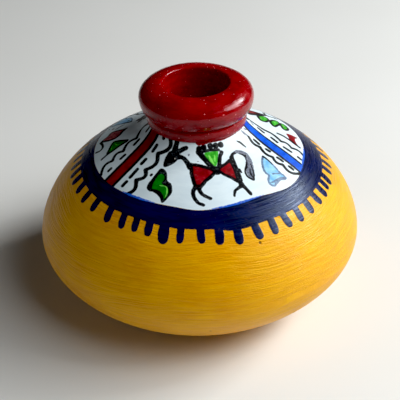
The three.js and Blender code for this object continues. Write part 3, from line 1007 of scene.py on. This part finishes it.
def start_group(name, inputs, outputs):
    """A shader node group and its ends. Inputs are {name: (type, default)}, outputs {name: type}."""
    group = bpy.data.node_groups.new(name, "ShaderNodeTree")
    for label, (kind, default) in inputs.items():
        socket = group.interface.new_socket(name=label, in_out="INPUT", socket_type="NodeSocket" + kind)
        if default is not None:
            socket.default_value = default
    for label, kind in outputs.items():
        group.interface.new_socket(name=label, in_out="OUTPUT", socket_type="NodeSocket" + kind)
    entry, leave = group.nodes.new("NodeGroupInput"), group.nodes.new("NodeGroupOutput")
    return group, entry.outputs, leave.inputs


def use_group(tree, group, inputs):
    """Places a group in a tree and returns its outputs by name."""
    return add_node(tree, "Group", inputs, node_tree=group).outputs

# %% [markdown]
# Brush marks are noise stretched along the brush's way. The way's third number is the distance down the
# slope, so dividing it by the spacing of the bristles gives fine ridges, and a slow noise added first makes
# them waver. Pits are small holes and specks: a Voronoi pattern gives scattered points, and a random number
# for each one keeps only a few.

# %% Shared groups: brush marks, pits and paint edges
brush_marks, entry, leave = start_group(
    "Brush marks", {"Way": ("Vector", None), "Spacing": ("Float", 0.9), "Waver": ("Float", 3.0)},
    {"Ridge": "Float", "Streak": "Float"})
along = split(brush_marks, entry["Way"])
slow_way = put(brush_marks, "VectorMath", {0: entry["Way"], 1: (1.4, 1.4, 0.035)}, operation="MULTIPLY")
slow = put(brush_marks, "TexNoise", {"Vector": slow_way, "Scale": 1.0, "Detail": 1.0})
bent = sums(brush_marks, "MULTIPLY_ADD", sums(brush_marks, "SUBTRACT", slow, 0.5), entry["Waver"], along[2])
fine = sums(brush_marks, "DIVIDE", bent, entry["Spacing"])
long_x, long_y = (times(brush_marks, along[k], 5.0) for k in (0, 1))
ridge_way = put(brush_marks, "CombineXYZ", {0: long_x, 1: long_y, 2: fine})
ridge = put(brush_marks, "TexNoise", {"Vector": ridge_way, "Scale": 1.0, "Detail": 2.0, "Roughness": 0.55})
brush_marks.links.new(ramp(brush_marks, ridge, 0.3, 0.7), leave["Ridge"])
streak_way = put(brush_marks, "CombineXYZ", {0: long_x, 1: long_y, 2: times(brush_marks, fine, 0.27)})
streak = put(brush_marks, "TexNoise", {"Vector": streak_way, "Scale": 1.0, "Detail": 3.0})
brush_marks.links.new(ramp(brush_marks, streak, 0.32, 0.68), leave["Streak"])

pits, entry, leave = start_group(
    "Pits",
    {"Point": ("Vector", None), "Spacing": ("Float", 8.0), "Size": ("Float", 0.4), "Share": ("Float", 0.3)},
    {"Mask": "Float"})
scaled = put(pits, "VectorMath", {0: entry["Point"], 3: sums(pits, "DIVIDE", 1.0, entry["Spacing"])},
             operation="SCALE")
cells = add_node(pits, "TexVoronoi", {"Vector": scaled, "Scale": 1.0}).outputs
chance = add_node(pits, "SeparateColor", {0: cells["Color"]}).outputs
distance_mm = times(pits, cells["Distance"], entry["Spacing"])
own_size = times(pits, entry["Size"], sums(pits, "MULTIPLY_ADD", chance[1], 0.8, 0.35))
hole = ramp(pits, distance_mm, own_size, times(pits, own_size, 0.5))
kept = sums(pits, "LESS_THAN", chance[0], entry["Share"])
pits.links.new(times(pits, hole, kept), leave["Mask"])


def scatter(tree, point, spacing, size, share):
    """Scattered round spots, with their spacing and size in mm. Only a share of them is kept."""
    return use_group(tree, pits, {"Point": point, "Spacing": spacing, "Size": size, "Share": share})["Mask"]



paint_edge, entry, leave = start_group(
    "Paint edge",
    {"Distance": ("Float", 1.0), "Point": ("Vector", None), "Ragged": ("Float", 0.15), "Dry": ("Float", 0.1)},
    {"Mask": "Float"})
shake = put(paint_edge, "TexNoise", {"Vector": entry["Point"], "Scale": 1.1, "Detail": 2.0})
moved = sums(paint_edge, "MULTIPLY_ADD", sums(paint_edge, "SUBTRACT", shake, 0.5), entry["Ragged"],
             entry["Distance"])
covered = ramp(paint_edge, moved, 0.13, -0.13)
thin = put(paint_edge, "TexNoise", {"Vector": entry["Point"], "Scale": 0.9, "Detail": 4.0, "Roughness": 0.7})
missing = times(paint_edge, ramp(paint_edge, thin, 0.5, 0.75), entry["Dry"])
paint_edge.links.new(times(paint_edge, covered, sums(paint_edge, "SUBTRACT", 1.0, missing)), leave["Mask"])

# %% [markdown]
# The yellow is one recipe for both halves of the pot, so it's a group too. Thick and thin paint differ a
# little in depth of colour, the furrows between the ridges are painted darker as painted shade, the ridges
# catch the light, and a few pits show clay, painted darker still as painted shade in the holes.

# %% Yellow paint
paint_reads = {"Way": ("Vector", None), "Point": ("Vector", None)}
paint_gives = {"Color": "Color", "Roughness": "Float", "Height": "Float"}
yellow_paint, entry, leave = start_group("Turmeric paint", paint_reads, paint_gives)
marks = use_group(yellow_paint, brush_marks, {"Way": entry["Way"], "Spacing": 0.48, "Waver": 7.0})
patches = put(yellow_paint, "TexNoise", {"Vector": entry["Point"], "Scale": 0.055, "Detail": 3.0})
holes = scatter(yellow_paint, entry["Point"], 9.0, 0.6, 0.45)
specks = scatter(yellow_paint, entry["Point"], 3.1, 0.22, 0.25)
deep = mixed(yellow_paint, ramp(yellow_paint, patches, 0.35, 0.7), screen(238, 170, 2), screen(228, 156, 0))
streaked = mixed(yellow_paint, times(yellow_paint, marks["Streak"], 0.3), deep, screen(252, 200, 16))
# painted shade: the furrows of the brush marks are painted a darker yellow
shaded_furrows = mixed(yellow_paint, times(yellow_paint, marks["Ridge"], 0.36), streaked, screen(206, 132, 0))
specked = mixed(yellow_paint, times(yellow_paint, specks, 0.35), shaded_furrows, screen(150, 92, 8))
# painted shade: the pits show clay, painted darker than the clay as shade in the holes
pitted = mixed(yellow_paint, times(yellow_paint, holes, 0.85), specked, screen(92, 52, 10))
yellow_paint.links.new(pitted, leave["Color"])
yellow_paint.links.new(ramp(yellow_paint, marks["Streak"], 0.0, 1.0, 0.36, 0.48), leave["Roughness"])
leather = put(yellow_paint, "TexNoise", {"Vector": entry["Point"], "Scale": 1.7, "Detail": 2.0})
ridge_height = sums(yellow_paint, "MULTIPLY_ADD", marks["Ridge"], -0.12, times(yellow_paint, leather, 0.08))
yellow_paint.links.new(sums(yellow_paint, "MULTIPLY_ADD", holes, -0.25, ridge_height), leave["Height"])

# %% [markdown]
# Bare terracotta shows under the foot and inside. It's matt, with dark and pale grog in it, and oil has
# soaked into the floor of the bowl.

# %% Bare clay
bare_clay, entry, leave = start_group("Bare clay", {"Point": ("Vector", None)}, paint_gives)
blush = put(bare_clay, "TexNoise", {"Vector": entry["Point"], "Scale": 0.09, "Detail": 4.0})
grain = put(bare_clay, "TexNoise", {"Vector": entry["Point"], "Scale": 2.4, "Detail": 3.0})
dark_grog = scatter(bare_clay, entry["Point"], 1.7, 0.3, 0.3)
pale_grog = scatter(bare_clay, entry["Point"], 2.3, 0.32, 0.25)
body = mixed(bare_clay, ramp(bare_clay, blush, 0.3, 0.7), screen(176, 98, 62), screen(156, 82, 50))
body = mixed(bare_clay, times(bare_clay, grain, 0.35), body, screen(196, 120, 82))
body = mixed(bare_clay, dark_grog, body, screen(96, 54, 38))
body = mixed(bare_clay, pale_grog, body, screen(206, 160, 122))
bare_clay.links.new(body, leave["Color"])
bare_clay.links.new(ramp(bare_clay, grain, 0.3, 0.7, 0.82, 0.95), leave["Roughness"])
bare_clay.links.new(times(bare_clay, grain, 0.06), leave["Height"])


# %% [markdown]
# Every material starts with the same coordinates and ends in the same kind of surface. A piece can carry
# more than one material, and then each face has the number of its own.

# %% Material helpers


def start_material(name):
    """An empty material, and the millimetre coordinates and brush way that its patterns read."""
    made = bpy.data.materials.new(name)
    made.use_nodes = True
    tree = made.node_tree
    tree.nodes.clear()
    position = put(tree, "TexCoord", {}, out="Object")
    point = put(tree, "VectorMath", {0: position, 3: 1 / MM}, operation="SCALE")
    way = put(tree, "Attribute", {}, out="Vector", attribute_name="brush_way")
    return made, tree, point, way


def finish_surface(tree, colour, roughness, height, **others):
    """A Principled surface with a bump whose height is in mm. Other inputs go by their own names."""
    normal = put(tree, "Bump", {"Height": height, "Distance": MM})
    inputs = {"Base Color": colour, "Roughness": roughness, "Normal": normal}
    inputs.update({name.replace("_", " "): value for name, value in others.items()})
    add_node(tree, "OutputMaterial", {"Surface": put(tree, "BsdfPrincipled", inputs)})


def face_places(piece):
    """Radius and height of every face's middle, in mm."""
    centres = np.empty(3 * len(piece.data.polygons), dtype=np.float32)
    piece.data.polygons.foreach_get("center", centres)
    x, y, z = centres.reshape(-1, 3).T / MM
    return np.hypot(x, y), z


def paint_faces(piece, materials, choice):
    """Gives a piece its materials, and each face the one whose number is chosen for it."""
    for material in materials:
        piece.data.materials.append(material)
    piece.data.polygons.foreach_set("material_index", np.asarray(choice).astype(np.int32))


def inner_side(radius, height):
    """True for faces that lie more than half a wall in from the outline."""
    return radius < np.interp(height, outline_z[::-1], outline_r[::-1]) - clay_wall / 2

# %% Materials of the two clay halves
yellow_clay, tree, point, way = start_material("Yellow painted clay")
coat = use_group(tree, yellow_paint, {"Way": way, "Point": point})
clay = use_group(tree, bare_clay, {"Point": point})
height_mm = split(tree, point)[2]
wipe = put(tree, "TexNoise", {"Vector": point, "Scale": 0.35, "Detail": 2.0})
bare = ramp(tree, sums(tree, "MULTIPLY_ADD", wipe, -2.2, height_mm), -0.2, -0.6)
yellow_shine = {"Specular_IOR_Level": 0.55, "Specular_Tint": (1.0, 0.96, 0.5, 1.0)}
colour = mixed(tree, bare, coat["Color"], clay["Color"])
roughness = put(tree, "Mix", {0: bare, 2: coat["Roughness"], 3: clay["Roughness"]})
finish_surface(tree, colour, roughness, coat["Height"], **yellow_shine)

raw_clay, tree, point, way = start_material("Bare terracotta")
clay = use_group(tree, bare_clay, {"Point": point})
height_mm = split(tree, point)[2]
tide = put(tree, "TexNoise", {"Vector": point, "Scale": 0.08, "Detail": 2.0})
soaked = ramp(tree, sums(tree, "MULTIPLY_ADD", tide, 9.0, height_mm), 30.0, 26.0)
inside_only = ramp(tree, height_mm, 3.0, 5.0)
soaked = times(tree, soaked, inside_only)
colour = mixed(tree, times(tree, soaked, 0.75), clay["Color"], screen(86, 44, 24))
roughness = put(tree, "Mix", {0: soaked, 2: clay["Roughness"], 3: 0.45})
finish_surface(tree, colour, roughness, clay["Height"])

face_radius, face_height = face_places(bowl)
under_foot = face_height < 0.4
in_bowl = inner_side(face_radius, face_height) & (face_height > floor_wall - 1)
paint_faces(bowl, [yellow_clay, raw_clay], under_foot | in_bowl)
print(f"{(under_foot | in_bowl).mean():.0%} of the bowl's faces are bare clay")

# %% [markdown]
# The shoulder's material lays one colour over another in the order that the painter did: white ground,
# flat fills, grey washes, black lines, and last the navy band with its dashes. Every layer reads its own
# stored distance. The yellow, the white and the navy also shine by different amounts.

# %% Material of the painted shoulder
glazes = [  # layer, ragged edge, dry brush, two mixes of its colour, and how finely they mingle
    ("sky", 0.2, 0.35, (104, 172, 224), (150, 205, 236), 0.3),
    ("green", 0.2, 0.05, (8, 102, 14), (22, 130, 26), 0.4),
    ("bright green", 0.2, 0.05, (40, 150, 30), (74, 190, 52), 0.9),
    ("light green", 0.3, 0.5, (128, 220, 96), None, None),
    ("blue", 0.2, 0.02, (4, 72, 192), (14, 92, 214), 0.4),
    ("red", 0.2, 0.05, (148, 18, 28), (120, 8, 16), 0.5),
    ("dull red", 0.3, 0.2, (184, 100, 104), (140, 44, 54), 0.8),
    ("grey", 0.5, 0.55, (120, 126, 142), (84, 90, 106), 1.4),
    ("soft grey", 0.4, 0.4, (112, 138, 168), (86, 104, 134), 1.0),
    ("black", 0.28, 0.12, (7, 7, 11), (16, 16, 20), 0.5),
    ("eye", 0.1, 0.05, (205, 200, 190), None, None),
]


painted_shoulder, tree, point, way = start_material("Painted shoulder")
coat = use_group(tree, yellow_paint, {"Way": way, "Point": point})
fine_marks = use_group(tree, brush_marks, {"Way": way, "Spacing": 0.7, "Waver": 3.0})
band_marks = use_group(tree, brush_marks, {"Way": way, "Spacing": 0.55, "Waver": 4.0})


def layer_mask(layer, ragged, dry):
    """Where a layer's paint lies, with its edge roughened and a little of it missing."""
    distance = put(tree, "Attribute", {}, out="Fac", attribute_name="paint " + layer)
    inputs = {"Distance": distance, "Point": point, "Ragged": ragged, "Dry": dry}
    return use_group(tree, paint_edge, inputs)["Mask"]


white = mixed(tree, times(tree, fine_marks["Streak"], 0.5), screen(222, 237, 244), screen(206, 224, 234))
colour = mixed(tree, layer_mask("white", 0.35, 0.0), coat["Color"], white)
for layer, ragged, dry, first, second, scale in glazes:
    own = screen(*first)
    if second:
        noise = put(tree, "TexNoise", {"Vector": point, "Scale": scale, "Detail": 3.0})
        own = mixed(tree, ramp(tree, noise, 0.35, 0.65), own, screen(*second))
    colour = mixed(tree, layer_mask(layer, ragged, dry), colour, own)
navy = mixed(tree, times(tree, band_marks["Streak"], 0.5), screen(5, 12, 50), screen(14, 28, 88))
colour = mixed(tree, layer_mask("navy", 0.3, 0.03), colour, navy)
colour = mixed(tree, layer_mask("bright edge", 0.5, 0.4), colour, screen(40, 92, 200))
colour = mixed(tree, layer_mask("red lap", 0.5, 0.0), colour, screen(122, 3, 10))

# %% [markdown]
# Gloss, relief and shine change with the ground in the same way: yellow first, then white, then navy.

# %% Gloss, relief and shine by ground
on_white, on_navy = layer_mask("white", 0.3, 0.0), layer_mask("navy", 0.3, 0.0)
navy_gloss = ramp(tree, band_marks["Ridge"], 0.0, 1.0, 0.24, 0.38)
gloss = put(tree, "Mix", {0: on_navy, 2: coat["Roughness"], 3: navy_gloss})
relief = put(tree, "Mix", {0: on_white, 2: coat["Height"], 3: times(tree, fine_marks["Ridge"], 0.02)})
relief = put(tree, "Mix", {0: on_navy, 2: relief, 3: times(tree, band_marks["Ridge"], 0.05)})
shine = put(tree, "Mix", {0: on_white, 2: yellow_shine["Specular_IOR_Level"], 3: 0.2})
shine = put(tree, "Mix", {0: on_navy, 2: shine, 3: 0.3})
tint = mixed(tree, on_white, yellow_shine["Specular_Tint"], (1.0, 1.0, 1.0, 1.0))
tint = mixed(tree, on_navy, tint, (0.55, 0.72, 1.0, 1.0))
finish_surface(tree, colour, gloss, relief, Specular_IOR_Level=shine, Specular_Tint=tint)

face_radius, face_height = face_places(dome)
under_collar = face_radius < collar_foot_radius - 0.2
paint_faces(dome, [painted_shoulder, raw_clay], inner_side(face_radius, face_height) | under_collar)

# %% [markdown]
# The collar and the rim are deep crimson under a gloss varnish. The colour is a little thicker in the
# furrows, dust sits in the varnish as fine specks that are painted pale as small painted glints, and a
# touch of blue from the stripe has run into the collar's foot on the right.

# %% Crimson gloss
crimson_paint, entry, leave = start_group("Crimson paint", paint_reads, paint_gives)
marks = use_group(crimson_paint, brush_marks, {"Way": entry["Way"], "Spacing": 0.6, "Waver": 2.5})
drift = put(crimson_paint, "TexNoise", {"Vector": entry["Point"], "Scale": 0.12, "Detail": 3.0})
dust_and_glints = scatter(crimson_paint, entry["Point"], 1.3, 0.3, 0.5)
bubbles = scatter(crimson_paint, entry["Point"], 5.2, 0.45, 0.35)
red = mixed(crimson_paint, ramp(crimson_paint, drift, 0.35, 0.65), screen(140, 4, 12), screen(120, 0, 8))
red = mixed(crimson_paint, times(crimson_paint, marks["Streak"], 0.4), red, screen(164, 10, 16))
# painted glints: the dust specks are painted pale pink, as small sparkles of light on the varnish
red = mixed(crimson_paint, times(crimson_paint, dust_and_glints, 0.85), red, screen(226, 120, 124))
crimson_paint.links.new(red, leave["Color"])
crimson_paint.links.new(ramp(crimson_paint, marks["Streak"], 0.0, 1.0, 0.13, 0.28), leave["Roughness"])
crimson_height = times(crimson_paint, marks["Ridge"], -0.026)
crimson_height = sums(crimson_paint, "MULTIPLY_ADD", dust_and_glints, 0.05, crimson_height)
crimson_paint.links.new(sums(crimson_paint, "MULTIPLY_ADD", bubbles, -0.05, crimson_height), leave["Height"])

varnish = {"IOR": 1.34, "Specular_Tint": (1.0, 0.82, 0.88, 1.0)}
crimson, tree, point, way = start_material("Crimson gloss")
coat = use_group(tree, crimson_paint, {"Way": way, "Point": point})
finish_surface(tree, coat["Color"], coat["Roughness"], coat["Height"], Specular_IOR_Level=0.8, **varnish)
rim.data.materials.append(crimson)

crimson_collar, tree, point, way = start_material("Crimson collar")
coat = use_group(tree, crimson_paint, {"Way": way, "Point": point})
run_at = tuple(float(v) for v in on_pot(np.array(77.0), collar_radius, ledge_z + 1.0))
from_run = put(tree, "VectorMath", {0: point, 1: run_at}, out="Value", operation="DISTANCE")
run_mask = times(tree, ramp(tree, from_run, 2.6, 0.8), 0.75)
colour = mixed(tree, run_mask, coat["Color"], screen(66, 0, 92))
finish_surface(tree, colour, coat["Roughness"], coat["Height"], Specular_IOR_Level=0.7, **varnish)
collar.data.materials.append(crimson_collar)
print("crimson:", len(crimson_paint.nodes), "nodes in the paint that the collar and the rim share")

# %% [markdown]
# Brass that lives above a flame darkens. Concentric turning lines come from a noise that only reads the
# radius and height, tarnish gathers in slow patches, and soot darkens what is closest to the wick's tip.

# %% Brass
brass, tree, point, way = start_material("Spun brass")
parts = split(tree, point)
from_axis = put(tree, "VectorMath", {0: put(tree, "CombineXYZ", {0: parts[0], 1: parts[1]})},
                out="Value", operation="LENGTH")
lathe_way = put(tree, "CombineXYZ", {0: times(tree, from_axis, 6.0), 2: times(tree, parts[2], 6.0)})
lathe = put(tree, "TexNoise", {"Vector": lathe_way, "Scale": 1.0, "Detail": 2.0})
stain = put(tree, "TexNoise", {"Vector": point, "Scale": 0.35, "Detail": 4.0, "Roughness": 0.6})
metal = mixed(tree, ramp(tree, stain, 0.42, 0.7), screen(214, 170, 92), screen(150, 104, 48))
metal = mixed(tree, times(tree, ramp(tree, lathe, 0.4, 0.65), 0.25), metal, screen(236, 200, 128))
to_flame = put(tree, "VectorMath", {0: point, 1: (0.0, 0.0, float(tube_high[2]) + 1.0)}, out="Value",
               operation="DISTANCE")
soot = times(tree, ramp(tree, to_flame, 5.0, 1.8), ramp(tree, stain, 0.3, 0.6, 0.5, 0.95))
metal = mixed(tree, soot, metal, screen(34, 28, 24))
polish = put(tree, "Mix", {0: soot, 2: ramp(tree, stain, 0.35, 0.7, 0.2, 0.42), 3: 0.7})
metallic = ramp(tree, soot, 0.2, 0.9, 1.0, 0.35)
finish_surface(tree, metal, polish, times(tree, lathe, 0.012), Metallic=metallic)
for piece in (cup, tube, lock_ring):
    piece.data.materials.clear()
    piece.data.materials.append(brass)
print("spun brass:", len(tree.nodes), "nodes on three pieces")

# %% [markdown]
# Cotton is matt and soft, with fine fibres that follow the twist. The lower part has drunk oil, so it's
# darker and less matt. The tip is lightly charred from its first lighting.

# %% Cotton
cotton, tree, point, way = start_material("Twisted cotton")
parts = split(tree, point)
lay_angle = sums(tree, "ARCTAN2", parts[1], parts[0])
twisted = sums(tree, "MULTIPLY_ADD", parts[2], 2 * math.pi / twist_pitch, lay_angle)
across_x, across_y = (sums(tree, operation, twisted) for operation in ("COSINE", "SINE"))
strand_way = put(tree, "CombineXYZ", {0: times(tree, across_x, 7.0),
                                      1: times(tree, across_y, 7.0),
                                      2: times(tree, parts[2], 0.8)})
strand = put(tree, "TexNoise", {"Vector": strand_way, "Scale": 1.6, "Detail": 4.0, "Roughness": 0.65})
fibre = mixed(tree, ramp(tree, strand, 0.3, 0.7), screen(236, 228, 208), screen(206, 192, 162))
soaking = ramp(tree, parts[2], 66.0, 40.0)
fibre = mixed(tree, times(tree, soaking, 0.7), fibre, screen(170, 138, 84))
ember = put(tree, "TexNoise", {"Vector": point, "Scale": 1.3, "Detail": 3.0})
burnt = ramp(tree, sums(tree, "MULTIPLY_ADD", ember, 1.4, parts[2]), float(wick_high[2]) - 0.9,
             float(wick_high[2]) + 0.3)
fibre = mixed(tree, burnt, fibre, screen(32, 25, 22))
roughness = put(tree, "Mix", {0: soaking, 2: 0.9, 3: 0.5})
finish_surface(tree, fibre, roughness, times(tree, strand, 0.12), Sheen_Weight=0.25, Sheen_Roughness=0.5)
wick.data.materials.append(cotton)
print("twisted cotton:", len(tree.nodes), "nodes")

# %% [markdown]
# ## Onto the frame
# Each piece rides on the body that moves it, and stands for one solid of the frame.

# %% Ride and replace
for piece, body, node, finish in [
    (bowl, "vessel", "lower_bowl", "yellow_clay"),
    (dome, "vessel", "shoulder_dome", "painted_shoulder"),
    (collar, "vessel", "neck_collar", "red_clay"),
    (rim, "vessel", "rolled_rim", "red_clay"),
    (cup, "burner", "drip_cup", "burner_brass"),
    (tube, "burner", "wick_tube", "burner_brass"),
    (lock_ring, "burner", "lock_ring", "burner_brass"),
    (wick, "wick", "cotton_wick", "wick_cotton"),
]:
    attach(piece, body)
    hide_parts(node)
    print(f"{piece.name} stands for {node} on the {body}")

# %% [markdown]
# ## Floor, light and camera
# The floor is plain and pale. A window's two panes stand on the right, one beside the lamp and one a little
# behind it. They draw the bright streaks on the rim and throw the shadow to the left. A curtain, higher and
# more to the front, and a faint room on the left fill the shade, without mirror images of their own. A weak
# sky keeps the deepest places from going fully dark, and a small black level takes the haze off the darkest
# paint, as most cameras do. The camera looks down by about a third of a right angle, from three and a half
# belly widths away.

# %% Stage
floor_reach, floor_z = 1500.0, -0.05
corners = [(x * floor_reach, y * floor_reach, floor_z) for x, y in [(-1, -1), (1, -1), (1, 1), (-1, 1)]]
stand = mesh_object("floor", corners, [np.array([[0, 1, 2, 3]])])
pale, tree, point, way = start_material("Pale floor")
cloudy = put(tree, "TexNoise", {"Vector": point, "Scale": 0.012, "Detail": 2.0})
colour = mixed(tree, cloudy, screen(234, 234, 232), screen(228, 228, 225))
finish_surface(tree, colour, 0.75, 0.0)
stand.data.materials.append(pale)
print(f"floor {2 * floor_reach / 1000:.0f} m across")

# %% Light


light_target = Vector((0, 0, 0.05))
light_distance = 0.88  # m


def soft_light(name, azimuth, elevation, size, power):
    """A rectangle of light that faces the lamp: azimuth as on the pot, elevation from the floor up."""
    data = bpy.data.lights.new(name, "AREA")
    data.shape, data.size, data.size_y = "RECTANGLE", *size
    data.energy, data.color = power, (0.98, 1.0, 1.0)
    lamp = bpy.data.objects.new(name, data)
    turn, rise = math.radians(azimuth), math.radians(elevation)
    away = Vector((math.sin(turn) * math.cos(rise), -math.cos(turn) * math.cos(rise), math.sin(rise)))
    lamp.location = light_target + away * light_distance
    lamp.rotation_euler = (-away).to_track_quat("-Z", "Y").to_euler()
    bpy.context.scene.collection.objects.link(lamp)
    return lamp


for name, azimuth, elevation, size, power, mirrored in [
    ("window far pane", 106, 34, (0.34, 0.20), 6.0, True),
    ("window middle pane", 80, 38, (0.36, 0.26), 3.4, True),
    ("curtain", 48, 46, (0.5, 0.4), 3.1, False),
    ("room", -80, 16, (0.8, 0.5), 0.62, False),
]:
    soft_light(name, azimuth, elevation, size, power).visible_glossy = mirrored
world = bpy.data.worlds.new("sky")
world.use_nodes = True
sky = world.node_tree.nodes["Background"].inputs
sky["Color"].default_value = (1.0, 0.96, 0.9, 1.0)
sky["Strength"].default_value = 0.012
bpy.context.scene.world = world
view = bpy.context.scene.view_settings
view.view_transform = "Standard"
view.use_curve_mapping = True
view.curve_mapping.black_level = (0.008, 0.008, 0.008)
view.curve_mapping.update()

# %% Camera
look_down, roll = 33.73, 1.66  # degrees
aim_above, aim_left = 1.045, 0.017  # degrees off the middle of the belly
distance = 7 * belly_radius
camera_data = bpy.data.cameras.new("camera")
camera_data.lens, camera_data.sensor_width = 98.86, 36
camera = bpy.data.objects.new("camera", camera_data)
middle = Vector((0, 0, belly_z)) * MM
down = math.radians(look_down)
camera.location = middle + Vector((0, -math.cos(down), math.sin(down))) * distance * MM
turns = [(90 - look_down, "X"), (-roll, "Z"), (aim_above, "X"), (-aim_left, "Y")]
looking = Matrix.Identity(3)
for angle, axis in turns:
    looking = looking @ Matrix.Rotation(math.radians(angle), 3, axis)
camera.rotation_euler = looking.to_euler()
bpy.context.scene.collection.objects.link(camera)
bpy.context.scene.camera = camera
print("camera at", [round(v, 3) for v in camera.location])
